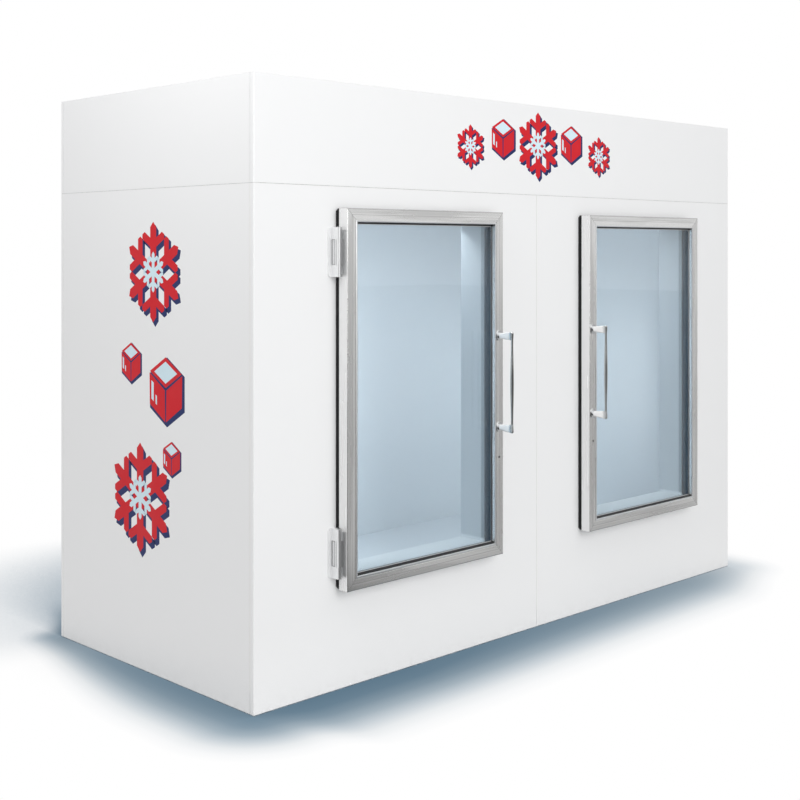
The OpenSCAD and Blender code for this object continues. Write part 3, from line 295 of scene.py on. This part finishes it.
def pin_steel(n):
    return brushed(n, (True, True, False), (0.30, 0.30, 0.31), (0.44, 0.44, 0.45), 0.26, 0.38)


# Door frame: outer rectangle of one leaf, the same for both leaves because |x| is used
DOOR_X, DOOR_Z, DOOR_HALF_W, DOOR_HALF_H = 0.562, 0.839, 0.336, 0.547


def door_aluminium(n):
    """Bright aluminium: fine drawn lines along each bar, long soft smears and a hairline at the mitres, with painted
    shade for an outer band, a groove and a rolled rim, and a painted highlight on the side faces.
    """
    x, _, z = n.axes()
    across = n.math("ABSOLUTE", n.math("SUBTRACT", n.math("ABSOLUTE", x), DOOR_X))
    upright = n.math("ABSOLUTE", n.math("SUBTRACT", z, DOOR_Z))
    from_side = n.math("SUBTRACT", DOOR_HALF_W, across)
    from_end = n.math("SUBTRACT", DOOR_HALF_H, upright)
    ends = n.math("SUBTRACT", from_side, from_end)
    stile = n.math("LESS_THAN", ends, 0.0)

    def grain(short, long, detail, rough=0.6):
        """One noise for the stiles and one for the rails, each stretched along its bar."""
        tall = n.noise(1.0, detail, rough, n.place((short, short, long)))
        flat = n.noise(1.0, detail, rough, n.place((long, short, short)))
        return n.add("Mix", {0: stile, 2: flat, 3: tall}).outputs[0]

    lines = grain(1500.0, 5.0, 2)
    smears = grain(40.0, 2.6, 2, 0.5)
    tone = n.mix(n.span(lines, 0.25, 0.75, 0.0, 0.18), (0.98, 0.98, 0.975), (0.70, 0.70, 0.695))
    tone = n.mix(n.span(smears, 0.42, 0.62, 0.0, 0.50), tone, (0.60, 0.60, 0.595))
    # painted shade: a duller outer band on each bar, a dark line for the groove beside it, and one for the rolled rim
    # of the rails
    inward = n.math("MINIMUM", from_side, from_end)
    tone = n.mix(n.span(inward, SHADED_BAND_W - 0.004, SHADED_BAND_W, 0.22, 0.0), tone, (0.62, 0.62, 0.615))
    groove_shade = n.math("ABSOLUTE", n.math("SUBTRACT", inward, GROOVE_SHADE_AT))
    tone = n.mix(n.span(groove_shade, 0.0005, 0.0014, 0.35, 0.0), tone, (0.36, 0.36, 0.36))
    rim = n.math("ABSOLUTE", n.math("SUBTRACT", from_end, RIM_SHADE_AT))
    tone = n.mix(n.span(rim, 0.0010, 0.0022, 0.60, 0.0), tone, (0.30, 0.30, 0.30))
    # the outer side faces are painted lighter and less metallic: a painted highlight
    edge = n.span(across, DOOR_HALF_W - 0.0008, DOOR_HALF_W - 0.0003)
    tone = n.mix(n.math("MULTIPLY", edge, 0.85), tone, (0.88, 0.88, 0.88))
    mitre = n.span(n.math("ABSOLUTE", ends), 0.0003, 0.0010, 0.45, 0.0)
    tone = n.mix(mitre, tone, (0.25, 0.25, 0.25))
    rough = n.span(smears, 0.3, 0.7, 0.18, 0.30)
    metal = n.span(edge, 0.0, 1.0, 1.0, 0.35)
    return n.principled(color=tone, rough=rough, metal=metal, normal=n.bump(lines, 0.08, 0.0002))


def slate_plastic(n):
    tone = n.mix(n.noise(14, 4), (0.034, 0.056, 0.080), (0.055, 0.082, 0.110))
    return n.principled(color=tone, rough=n.span(n.noise(60, 3), 0.3, 0.7, 0.34, 0.46),
                        normal=n.bump(n.noise(900, 3), 0.12, 0.0002))


def door_glass(n):
    """Clear float glass. Rays from lamps and from lit surfaces go straight through, tinted."""
    tint = n.mix(n.noise(3, 2), (0.955, 0.978, 0.985), (0.965, 0.984, 0.990))
    glass = n.principled(color=tint, rough=0.0, ior=1.45, through=1.0)
    clear = n.add("BsdfTransparent", {"Color": (0.955, 0.978, 0.985)})
    path = n.add("LightPath").outputs
    lamp = n.math("MAXIMUM", path["Is Shadow Ray"], path["Is Diffuse Ray"])
    return n.add("MixShader", {0: lamp, 1: glass.outputs[0], 2: clear.outputs[0]})


def chrome(n):
    swirl = n.noise(1.0, 4, 0.6, n.place((1400.0, 1400.0, 60.0)))
    tone = n.mix(n.noise(25, 3), (0.80, 0.81, 0.82), (0.88, 0.89, 0.90))
    y = n.axes()[1]
    # the legs, between the feet and the grip, have a paler satin finish
    leg = n.math("MULTIPLY", n.span(y, LEG_Y - 0.003, LEG_Y, 1.0, 0.0), n.span(y, GRIP_Y - 0.0005, GRIP_Y + 0.0045))
    tone = n.mix(n.span(y, GRIP_Y - 0.002, GRIP_Y, 1.0, 0.0), tone, (0.56, 0.565, 0.57))
    return n.principled(color=n.mix(leg, tone, (0.95, 0.95, 0.95)), rough=n.span(swirl, 0.3, 0.8, 0.04, 0.11),
                        metal=n.span(leg, 0.0, 1.0, 1.0, 0.30), normal=n.bump(swirl, 0.02, 0.0002))


def vinyl(n, tone, wear):
    """Printed film: ink density varies a little and the film shows the paint's waves."""
    color = n.mix(n.noise(14, 4), tone, tuple(0.90 * c + 0.01 for c in tone))
    color = n.mix(n.span(n.noise(160, 4, 0.7), 0.68, 0.82, 0.0, 0.18), color, wear)
    return n.principled(color=color, rough=n.span(n.noise(9, 3), 0.3, 0.7, 0.38, 0.50), specular=0.2,
                        normal=n.bump(n.noise(520, 2), 0.08, 0.0002))


LOOKS = {
    "white_paint": white_paint, "liner_paint": liner_paint, "jamb_plastic": jamb_plastic,
    "galvanised": galvanised, "foam": foam, "stainless": stainless,
    "extruded_aluminium": extruded_aluminium, "lens_plastic": lens_plastic, "black_enamel": black_enamel,
    "black_rubber": black_rubber, "black_plastic": black_plastic, "fins": fins, "fan_blades": fan_blades,
    "copper_tube": copper_tube, "cast_zinc": cast_zinc, "pin_steel": pin_steel,
    "door_aluminium": door_aluminium, "slate_plastic": slate_plastic, "door_glass": door_glass,
    "gasket_rubber": gasket_rubber, "chrome": chrome,
    "vinyl_red": lambda n: vinyl(n, (0.66, 0.006, 0.016), (0.68, 0.05, 0.06)),
    "vinyl_navy": lambda n: vinyl(n, (0.008, 0.022, 0.120), (0.03, 0.05, 0.16)),
    "vinyl_pale": lambda n: vinyl(n, (0.70, 0.87, 0.95), (0.78, 0.86, 0.90)),
}
looks = {name: material(name, build) for name, build in LOOKS.items()}

for part in frame["record"]["subparts"]:
    for place in frame["nodes"][part["node"]].material_slots:
        place.material = looks[part["material_slot"]]


# ---- mesh helpers -------------------------------------------------------------------------------

def piece(name, mesh, body, slot_name):
    """A finished piece of the object: it rides on body and takes its look and slot by one name."""
    made = bpy.data.objects.new(name, mesh)
    scene.collection.objects.link(made)
    mesh.materials.append(looks[slot_name])
    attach(made, body)
    return made


def plates(outlines, thickness):
    """Thin closed plates from lists of (u, v) points: u right and v up, lying on w = 0 and rising along w."""
    bm = bmesh.new()
    for points in outlines:
        face = bm.faces.new([bm.verts.new((u, v, 0)) for u, v in points])
        grown = bmesh.ops.extrude_face_region(bm, geom=[face])
        bmesh.ops.translate(bm, verts=[g for g in grown["geom"] if isinstance(g, bmesh.types.BMVert)],
                            vec=(0, 0, thickness))
    bmesh.ops.recalc_face_normals(bm, faces=bm.faces)
    return bm


def to_mesh(bm, name, matrix=None):
    if matrix:
        bm.transform(matrix)
    bmesh.ops.recalc_face_normals(bm, faces=bm.faces)
    mesh = bpy.data.meshes.new(name)
    bm.to_mesh(mesh)
    bm.free()
    return mesh


def facing(origin, right, out):
    """The matrix that puts (u, v, w) at origin, with u along right and w along out."""
    right, out = Vector(right), Vector(out)
    up = out.cross(right)
    turn = Matrix((right, up, out)).transposed().to_4x4()
    return Matrix.Translation(origin) @ turn


# ---- decals: snowflakes and ice cubes in printed film ---------------------------------------------

def flake(radius, center, grow=0.0):
    """The outline of a bold six-armed snowflake with a pair of branches on each arm."""
    a, b = 0.105 * radius + grow, 0.080 * radius + grow
    reach = radius + grow
    root, length = 0.50 * radius - grow, 0.32 * radius + grow
    d, k = Vector((math.sin(math.radians(60)), 0.5)), Vector((-0.5, math.sin(math.radians(60))))
    low = Vector((a, root))
    tip_low = low + length * d
    tip_high = tip_low + 2 * b * k
    tip = (tip_low + tip_high) / 2 + 0.6 * b * d
    high = tip_high - d * ((tip_high.x - a) / d.x)
    half = [low, tip_low, tip, tip_high, high, Vector((a, reach - a)), Vector((0, reach))]
    arm = [Vector((a, a / math.tan(math.radians(30))))] + half
    arm += [Vector((-p.x, p.y)) for p in reversed(half[:-1])]
    points = []
    for i in range(6):
        c, s = math.cos(i * math.pi / 3), math.sin(i * math.pi / 3)
        points += [(center[0] + p.x * c - p.y * s, center[1] + p.x * s + p.y * c) for p in arm]
    return points


def hexagon(size):
    return [Vector((math.sin(i * math.pi / 3), math.cos(i * math.pi / 3))) * size for i in range(6)]


def cube_faces(size, center, gap):
    """The top, right and left face of an ice cube seen from a corner, each drawn in by gap."""
    corners = hexagon(size)
    made = []
    for i in (0, 2, 4):
        quad = [Vector((0, 0)), corners[i - 1], corners[i], corners[(i + 1) % 6]]
        middle = sum(quad, Vector((0, 0))) / 4
        inner = []
        for p in quad:
            away = p - middle
            inner.append(middle + away * (1 - gap / max(away.length, 1e-6) * 1.35))
        made.append([(center[0] + p.x, center[1] + p.y) for p in reversed(inner)])
    return made


FILM = 0.0001            # thickness of one sheet
DROP = 0.075             # how far the shadow lies to the lower right, in sizes of the motif
TOP_INSET = 0.72         # size of the pale patch on a cube's top face
GLINTS = (((-0.74, -0.32), (-0.62, -0.39), (-0.62, 0.16), (-0.74, 0.23)),
          ((-0.52, -0.45), (-0.45, -0.49), (-0.45, -0.22), (-0.52, -0.18)))


def decals(name, flakes, cubes, matrix, body):
    """One sheet of film for each ink, a hair above the one below it: navy shadow, red motif, pale ice.
    A motif is (right, up, radius)."""
    navy, red, pale = [], [], []
    for u, v, r in flakes:
        navy.append(flake(r, (u + DROP * r, v - DROP * r), 0.012 * r))
        red.append(flake(r, (u, v)))
        pale.append(flake(0.40 * r, (u, v), 0.006 * r))
    for u, v, r in cubes:
        navy.append([(u + DROP * r + p.x, v - DROP * r + p.y) for p in reversed(hexagon(1.03 * r))])
        faces = cube_faces(r, (u, v), 0.035 * r)
        red += faces
        middle = [sum(axis) / 4 for axis in zip(*faces[0])]
        pale.append([tuple(m + TOP_INSET * (c - m) for c, m in zip(corner, middle)) for corner in faces[0]])
        pale += [[(u + r * x, v + r * y) for x, y in glint] for glint in GLINTS]
    for level, (ink, outlines) in enumerate((("navy", navy), ("red", red), ("pale", pale))):
        raised = matrix @ Matrix.Translation((0, 0, level * FILM))
        piece(f"{name}_{ink}", to_mesh(plates(outlines, FILM), name, raised), body, "vinyl_" + ink)


SIDE_X, FRONT_Y = 1.194, -0.455
decals("header_decal",
       [(-0.335, -0.015, 0.070), (0, 0.005, 0.112), (0.335, -0.015, 0.070)],
       [(-0.178, 0.020, 0.066), (0.178, 0.020, 0.066)],
       facing((0.008, FRONT_Y, 1.610), (1, 0, 0), (0, -1, 0)), "cabinet")
for side, sign in (("left", -1), ("right", 1)):
    decals(f"{side}_side_decal",
           [(0.02, 0.36, 0.150), (-0.05, -0.32, 0.165)],
           [(0.085, 0.015, 0.100), (-0.100, 0.085, 0.062), (0.115, -0.185, 0.052)],
           facing((sign * SIDE_X, 0.049, 0.840), (0, sign, 0), (sign, 0, 0)), "cabinet")


# ---- doors: sight lips, glazing rubber, trim, plugs and hinge rims ---------------------------------

def moulding(half_w, half_h, profile, rise=1.0, bars=(0, 1, 2, 3), bm=None, matrix=None):
    """A closed moulding with mitred corners round a rectangle. A profile point is (in from its edge, out).
    rise makes its level bars deeper than its upright ones. bars 0 and 2 are the level ones."""
    bm = bm or bmesh.new()
    matrix = matrix or Matrix()
    loops = []
    for inward, out in profile:
        w, h = half_w - inward, half_h - inward * rise
        loops.append([bm.verts.new(matrix @ Vector((u, v, out))) for u, v in ((-w, -h), (w, -h), (w, h), (-w, h))])
    for a, b in zip(loops, loops[1:] + loops[:1]):
        for i in bars:
            bm.faces.new((a[i], a[i - 3], b[i - 3], b[i]))
    if len(bars) < 4:
        for i in bars:
            bm.faces.new([loop[i] for loop in loops])
            bm.faces.new([loop[i - 3] for loop in reversed(loops)])
    return bm


def lathe(profile, turns=24, bm=None, matrix=None):
    """A closed turned shape: profile points are (radius, height), from the middle below to the middle above."""
    bm = bm or bmesh.new()
    matrix = matrix or Matrix()
    rings = []
    for radius, height in profile:
        if radius == 0:
            rings.append([bm.verts.new(matrix @ Vector((0, 0, height)))])
        else:
            rings.append([bm.verts.new(matrix @ Vector((radius * math.cos(2 * math.pi * i / turns),
                                                        radius * math.sin(2 * math.pi * i / turns), height)))
                          for i in range(turns)])
    for a, b in zip(rings, rings[1:]):
        for i in range(turns):
            corners = [a[i % len(a)], a[(i + 1) % len(a)], b[(i + 1) % len(b)], b[i % len(b)]]
            bm.faces.new([c for k, c in enumerate(corners) if c not in corners[:k]])
    return bm


PANE_Y, DOOR_FRONT_Y = -0.490, -0.505
SIGHT_HALF_W, SIGHT_HALF_H = 0.297, 0.508    # the opening through which the pane is seen
PLUG_X, PLUG_Z = 0.2455, 0.605
LEVEL_RISE = 1.9                             # the level bars round the pane are this much deeper
PLUG = [(0, -0.001), (0.0036, -0.001), (0.0036, 0.0004), (0.0030, 0.0010), (0.0016, 0.0013), (0, 0.0014)]
LIP = [(-0.0050, -0.0006), (-0.0044, 0.0005), (-0.0030, 0.0011), (-0.0012, 0.0012), (0.0002, 0.0008),
       (0.0008, -0.0002), (0.0008, -0.0026), (-0.0008, -0.0030)]
GLAZING = [(-0.0004, 0.0003), (0.0028, 0.0001), (0.0032, 0.0006), (0.0030, 0.0016), (0.0012, 0.0054),
           (0.0006, 0.0058), (-0.0004, 0.0058)]
TRIM = [(0.0028, 0.0002), (0.0040, 0.0002), (0.0040, 0.0008), (0.0036, 0.0013), (0.0030, 0.0013), (0.0028, 0.0010)]
THIN_GLAZING = [(0.55 * inward, 0.30 * out) for inward, out in GLAZING]     # for the upright bars
for side, sign in (("left", -1), ("right", 1)):
    body = side + "_door"
    face = facing((sign * DOOR_X, DOOR_FRONT_Y, DOOR_Z), (1, 0, 0), (0, -1, 0))
    pane = facing((sign * DOOR_X, PANE_Y, DOOR_Z), (1, 0, 0), (0, -1, 0))
    for name, profile, place, rise in (("sight_lip", LIP, face, 1.0), ("glazing_trim", TRIM, pane, LEVEL_RISE)):
        mesh = to_mesh(moulding(SIGHT_HALF_W, SIGHT_HALF_H, profile, rise), name, place)
        piece(f"{side}_door_{name}", mesh, body, "extruded_aluminium")
    rubber_bars = moulding(SIGHT_HALF_W, SIGHT_HALF_H, GLAZING, LEVEL_RISE, (0, 2))
    moulding(SIGHT_HALF_W, SIGHT_HALF_H, THIN_GLAZING, LEVEL_RISE, (1, 3), rubber_bars)
    piece(f"{side}_door_glazing_rubber", to_mesh(rubber_bars, "glazing_rubber", pane), body, "gasket_rubber")
    plug = facing((sign * PLUG_X, DOOR_FRONT_Y, PLUG_Z), (1, 0, 0), (0, -1, 0))
    piece(f"{side}_door_stile_plug", to_mesh(lathe(PLUG), "plug", plug), body, "black_plastic")


# A raised rim round the recess in the side of each hinge's bracket
BRACKET_SIDE_X, HINGES_Z = 0.9175, (0.400, 1.260)
RECESS_Y, RECESS_HALF_W, RECESS_HALF_H = -0.46725, 0.00525, 0.035
RIM = [(-0.0017, -0.0004), (-0.0017, 0.0003), (-0.0013, 0.0006), (-0.0004, 0.0006), (0.0001, 0.0002), (0.0001, -0.0009)]
bm = bmesh.new()
for sign in (-1, 1):
    for z in HINGES_Z:
        place = facing((sign * BRACKET_SIDE_X, RECESS_Y, z), (0, sign, 0), (sign, 0, 0))
        moulding(RECESS_HALF_W, RECESS_HALF_H, RIM, bm=bm, matrix=place)
piece("hinge_recess_rims", to_mesh(bm, "hinge_recess_rims"), "cabinet", "pin_steel")


# ---- machine bay: screws, fan guard, pipe insulation and tape --------------------------------------

FLANGE_TOP_Z = 1.452     # upper face of the flange at the foot of the evaporator's housing


def screws(name, places, out, body, slot_name, size=0.0042):
    """Hexagon heads on round washers, each turned a little differently."""
    bm = bmesh.new()
    towards = Vector(out).to_track_quat("Z", "Y").to_matrix().to_4x4()
    for k, at in enumerate(places):
        seat = Matrix.Translation(at) @ towards @ Matrix.Rotation(0.7 * k, 4, "Z")
        lathe([(0, -0.0004), (1.50 * size, -0.0004), (1.55 * size, 0.0004), (1.35 * size, 0.0009), (0, 0.0010)],
              20, bm, seat)
        lathe([(0, 0.0008), (size, 0.0008), (size, 0.0034), (0.86 * size, 0.0042), (0.55 * size, 0.0040),
               (0.50 * size, 0.0035), (0, 0.0034)], 6, bm, seat)
    piece(name, to_mesh(bm, name), body, slot_name)


def steps(low, high, count):
    return [low + (high - low) * i / (count - 1) for i in range(count)]


low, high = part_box("evaporator_lid")
top = high[2]
around = [(x, y, top) for x in steps(low[0] + 0.022, high[0] - 0.022, 6) for y in (low[1] + 0.018, high[1] - 0.018)]
around += [(x, y, top) for y in steps(low[1] + 0.16, high[1] - 0.16, 3) for x in (low[0] + 0.018, high[0] - 0.018)]
screws("evaporator_lid_screws", around, (0, 0, 1), "cabinet", "pin_steel")
low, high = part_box("evaporator_housing")
flange = [(x, y, FLANGE_TOP_Z) for x in steps(low[0] + 0.03, high[0] - 0.03, 7)
          for y in (low[1] + 0.009, high[1] - 0.009)]
flange += [(x, y, FLANGE_TOP_Z) for y in steps(low[1] + 0.09, high[1] - 0.09, 5)
           for x in (low[0] + 0.009, high[0] - 0.009)]
screws("evaporator_flange_screws", flange, (0, 0, 1), "cabinet", "pin_steel", 0.0036)
low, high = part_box("control_box")
screws("control_box_screws", [(x, low[1], z) for x in (low[0] + 0.013, high[0] - 0.013)
                              for z in (low[2] + 0.013, high[2] - 0.013)], (0, -1, 0), "cabinet", "pin_steel")
low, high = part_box("unit_tray")
screws("unit_tray_bolts", [(x, y, high[2]) for x in (low[0] + 0.020, high[0] - 0.020)
                           for y in (low[1] + 0.022, high[1] - 0.022)], (0, 0, 1), "cabinet", "pin_steel", 0.0065)


def wire(bm, points, radius, closed=False, sides=6):
    """A round wire along points."""
    rings = []
    count = len(points)
    points = [Vector(p) for p in points]
    for i, at in enumerate(points):
        before = points[i - 1] if i or closed else at
        after = points[(i + 1) % count] if i < count - 1 or closed else at
        along = (after - before).normalized()
        aside = along.cross(Vector((0.0, 1.0, 0.001)) if abs(along.y) < 0.9 else Vector((1.0, 0.0, 0.0))).normalized()
        up = along.cross(aside)
        rings.append([bm.verts.new(at + radius * (math.cos(a) * aside + math.sin(a) * up))
                      for a in (2 * math.pi * k / sides for k in range(sides))])
    for a, b in zip(rings, rings[1:] + (rings[:1] if closed else [])):
        for k in range(sides):
            bm.faces.new((a[k], a[k - 1], b[k - 1], b[k]))
    if not closed:
        bm.faces.new(rings[0])
        bm.faces.new(reversed(rings[-1]))


# Wire guard over the condenser fan: rings, and arms (radius, depth) that bend back to feet on the shroud
RING_DEPTH, RING_SEGMENTS = 0.016, 56
ARM = ((0.022, 0.0182), (0.106, 0.0182), (0.1095, 0.0165), (0.1105, 0.0125), (0.1105, 0.0045), (0.1115, 0.0016),
       (0.1165, 0.0012))
low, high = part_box("condenser_shroud")
hub = Vector(((low[0] + high[0]) / 2, low[1], (low[2] + high[2]) / 2))
bm = bmesh.new()
for radius in (0.022, 0.039, 0.056, 0.073, 0.090, 0.107):
    wire(bm, [hub + Vector((radius * math.cos(a), -RING_DEPTH, radius * math.sin(a)))
              for a in (2 * math.pi * i / RING_SEGMENTS for i in range(RING_SEGMENTS))], 0.0011, closed=True)
for a in (math.pi * i / 3 for i in range(6)):
    wire(bm, [hub + Vector((radius * math.cos(a), -depth, radius * math.sin(a))) for radius, depth in ARM], 0.0013)
piece("condenser_fan_guard", to_mesh(bm, "condenser_fan_guard"), "cabinet", "pin_steel")

# Foam sleeve on the suction line, along the line's own route between the housing and the compressor
corners = [Vector(p) for p in ((-0.172, 0.134, 1.600), (-0.260, 0.134, 1.600), (-0.260, 0.134, 1.695),
                               (-0.427, 0.134, 1.695), (-0.427, 0.062, 1.695))]
BEND_RADIUS, SLEEVE_RADIUS = 0.016, 0.0125
route = [corners[0]]
for a, b, c in zip(corners, corners[1:], corners[2:]):
    start, end = b + (a - b).normalized() * BEND_RADIUS, b + (c - b).normalized() * BEND_RADIUS
    middle = start + end - b
    route += [middle + ((start - middle) * math.cos(t) + (end - middle) * math.sin(t))
              for t in (math.pi / 2 * i / 6 for i in range(7))]
route.append(corners[-1])
bm = bmesh.new()
wire(bm, route, SLEEVE_RADIUS, sides=20)
sleeve = piece("suction_line_sleeve", to_mesh(bm, "suction_line_sleeve"), "cabinet", "black_rubber")
for polygon in sleeve.data.polygons:         # round, with flat ends
    polygon.use_smooth = len(polygon.vertices) == 4

# Foil tape over the joint between the evaporator's housing and its lid, with slightly wavy edges
TAPE_LOW_Z, TAPE_HIGH_Z, TAPE_JOINT_Z = 1.6385, 1.6720, 1.6545
TAPE_END, TAPE_ROWS = 0.022, 41
low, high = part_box("evaporator_lid")
bm = bmesh.new()
for start, end, out in (((low[0] + TAPE_END, low[1]), (high[0] - TAPE_END, low[1]), (0, -1)),
                        ((high[0], low[1] + TAPE_END), (high[0], high[1] - TAPE_END), (1, 0)),
                        ((high[0] - TAPE_END, high[1]), (low[0] + TAPE_END, high[1]), (0, 1)),
                        ((low[0], high[1] - TAPE_END), (low[0], low[1] + TAPE_END), (-1, 0))):
    rows = []
    for i, (x, y) in enumerate(zip(steps(start[0], end[0], TAPE_ROWS), steps(start[1], end[1], TAPE_ROWS))):
        ragged = 0.0010 * math.sin(5.1 * i + 9 * out[0]) + 0.0007 * math.sin(2.3 * i + 4 * out[1])
        low_z, high_z = TAPE_LOW_Z + ragged, TAPE_HIGH_Z - ragged
        column = [(0.0, low_z), (0.0004, low_z + 0.0005), (0.0006, TAPE_JOINT_Z), (0.0004, high_z - 0.0005),
                  (0.0, high_z)]
        rows.append([bm.verts.new((x + out[0] * p, y + out[1] * p, z)) for p, z in column])
    for a, b in zip(rows, rows[1:]):
        for k in range(4):
            bm.faces.new((a[k], b[k], b[k + 1], a[k + 1]))
piece("evaporator_joint_tape", to_mesh(bm, "evaporator_joint_tape"), "cabinet", "extruded_aluminium")


# ---- floor, world and lamps ---------------------------------------------------------------------

def studio_tone(n, toward):
    """How light the studio looks in polished parts: grey towards the front, greyer still at the front left."""
    unit = n.add("VectorMath", {0: toward}, operation="NORMALIZE").outputs[0]
    axes = n.axes(unit)
    front = n.math("MULTIPLY", n.span(axes[1], -0.60, -0.10, 1.0, 0.0), n.span(axes[2], -0.08, 0.32, 1.0, 0.0))
    corner = n.add("VectorMath", {0: unit, 1: (-0.70, -0.714, 0.0)}, operation="DOT_PRODUCT").outputs["Value"]
    dark = n.math("ADD", n.math("MULTIPLY", front, 0.36), n.span(corner, 0.62, 0.96, 0.0, 0.26))
    return n.math("SUBTRACT", 1.0, dark)


FOOT_HALF_W, FOOT_HALF_D, FOOT_Y = 1.194, 0.510, 0.055    # the cabinet's outline on the floor


def floor_look(n):
    """Seen directly or in a reflection, the lit floor is white and keeps the object's shadow, which is bluish."""
    path = n.add("LightPath").outputs
    seen = n.math("MAXIMUM", n.math("MAXIMUM", path["Is Camera Ray"], path["Is Glossy Ray"]),
                  path["Is Transmission Ray"])
    at = n.place()
    x, y, _ = n.axes(at)
    # the soft shadow round the base, by the distance from the cabinet's foot: softer towards the right, narrower
    # at the ends and towards the back
    past_x = n.math("MAXIMUM", n.math("SUBTRACT", n.math("ABSOLUTE", x), FOOT_HALF_W), 0.0)
    past_y = n.math("MAXIMUM", n.math("SUBTRACT", n.math("ABSOLUTE", n.math("SUBTRACT", y, FOOT_Y)), FOOT_HALF_D), 0.0)
    end = n.span(x, -1.20, -1.00, 1.0, 0.0)
    soft = n.math("ADD", n.math("MULTIPLY", n.math("MAXIMUM", n.math("ADD", x, 0.62), 0.0), 0.0175),
                  n.math("MULTIPLY", end, 0.005))
    away = n.math("SQRT", n.math("ADD", n.math("ADD", n.math("MULTIPLY", past_x, past_x),
                                               n.math("MULTIPLY", past_y, past_y)), soft))
    back = n.math("MULTIPLY", end, n.span(y, -0.25, 0.65, 0.0, 0.50))
    width = n.math("MULTIPLY", n.math("SUBTRACT", 1.0, back),
                   n.math("MULTIPLY", n.span(end, 0.0, 1.0, 0.42, 0.328), n.span(x, 0.80, 1.25, 1.0, 0.70)))
    ramp = n.add("ValToRGB", {0: n.math("DIVIDE", away, width)})
    stops = ramp.color_ramp.elements
    stops[0].position, stops[0].color = 0.02, (0.145, 0.236, 0.318, 1)
    stops[1].position, stops[1].color = 0.976, (1, 1, 1, 1)
    for position, tone in ((0.174, (0.165, 0.255, 0.334, 1)), (0.319, (0.248, 0.333, 0.405, 1)),
                           (0.460, (0.391, 0.469, 0.529, 1)), (0.593, (0.606, 0.660, 0.703, 1)),
                           (0.719, (0.823, 0.847, 0.863, 1)), (0.843, (0.939, 0.947, 0.956, 1))):
        stops.new(position).color = tone
    close = n.span(n.add("AmbientOcclusion", {"Distance": 0.40}, samples=12).outputs["AO"], 0.45, 0.90, 0.82, 1.0)
    # the long shadow away from the key lamp: how much a point sees when it looks towards that lamp
    lamp_side = n.add("CombineXYZ", {0: -0.38, 1: -0.83, 2: 0.40}).outputs[0]
    open_front = n.add("AmbientOcclusion", {"Distance": 1.35, "Normal": lamp_side}, samples=24).outputs["AO"]
    hidden = n.math("MULTIPLY", n.span(open_front, 0.54, 0.97, 1.0, 0.0), n.span(y, 0.35, 0.68))
    long = n.mix(hidden, (1.0, 1.0, 1.0), (0.30, 0.375, 0.440))
    tone = n.mix(1.0, n.mix(1.0, ramp.outputs[0], long, "MULTIPLY"), close, "MULTIPLY")
    front = n.span(y, -1.0, -0.55, 1.0, 0.0)
    far = n.span(n.add("VectorMath", {0: at}, operation="LENGTH").outputs["Value"], 1.6, 3.2)
    dim = n.math("MULTIPLY", n.math("MULTIPLY", path["Is Glossy Ray"], n.math("MAXIMUM", front, far)),
                 n.math("MULTIPLY", n.math("SUBTRACT", 1.0, studio_tone(n, at)), 1.75))
    glow = n.add("Emission", {"Color": tone, "Strength": n.math("SUBTRACT", 1.0, dim)})
    plain = n.add("BsdfDiffuse", {"Color": (0.62, 0.62, 0.62)})
    return n.add("MixShader", {0: seen, 1: plain.outputs[0], 2: glow.outputs[0]})


bm = bmesh.new()
bmesh.ops.create_grid(bm, x_segments=8, y_segments=8, size=30)
floor = bpy.data.objects.new("floor", to_mesh(bm, "floor"))
floor.data.materials.append(material("floor", floor_look))
scene.collection.objects.link(floor)

FILL_STRENGTH = 0.74     # even light from all round

world = bpy.data.worlds.new("studio")
world.use_nodes = True
scene.world = world
n = Nodes(world.node_tree)
path = n.add("LightPath").outputs
seen = n.math("MAXIMUM", n.math("MAXIMUM", path["Is Camera Ray"], path["Is Glossy Ray"]), path["Is Transmission Ray"])
tone = studio_tone(n, n.add("TexCoord").outputs["Generated"])
level = n.math("SUBTRACT", 1.0, n.math("MULTIPLY", path["Is Glossy Ray"], n.math("SUBTRACT", 1.0, tone)))
white = n.add("Background", {"Color": (1, 1, 1), "Strength": level})
fill = n.add("Background", {"Color": (0.995, 0.997, 1.0), "Strength": FILL_STRENGTH})
both = n.add("MixShader", {0: seen, 1: fill.outputs[0], 2: white.outputs[0]})
n.add("OutputWorld", {"Surface": both.outputs[0]})


def lamp(name, at, target, width, height, power):
    light = bpy.data.lights.new(name, "AREA")
    light.shape, light.size, light.size_y, light.energy = "RECTANGLE", width, height, power
    made = bpy.data.objects.new(name, light)
    made.location = at
    made.rotation_euler = (Vector(target) - Vector(at)).to_track_quat("-Z", "Y").to_euler()
    scene.collection.objects.link(made)


lamp("key", (-1.6, -6.8, 3.0), (0.0, -0.4, 0.9), 4.4, 4.4, 175)
lamp("side", (-2.0, -0.45, 2.9), (-1.2, 0.0, 1.8), 1.2, 1.2, 17)
# in the cabinet: its own ceiling light, and two soft ones for the studio light that comes in through the doors
lamp("inside", (0.0, -0.317, 1.352), (0.0, 0.15, 0.4), 1.3, 0.035, 4.0)
lamp("front_fill", (-0.30, -0.220, 0.76), (-0.80, 0.63, 0.76), 0.5, 0.90, 3.7)
lamp("right_fill", (0.72, -0.180, 0.76), (0.72, 0.45, 0.76), 0.5, 0.5, 1.1)
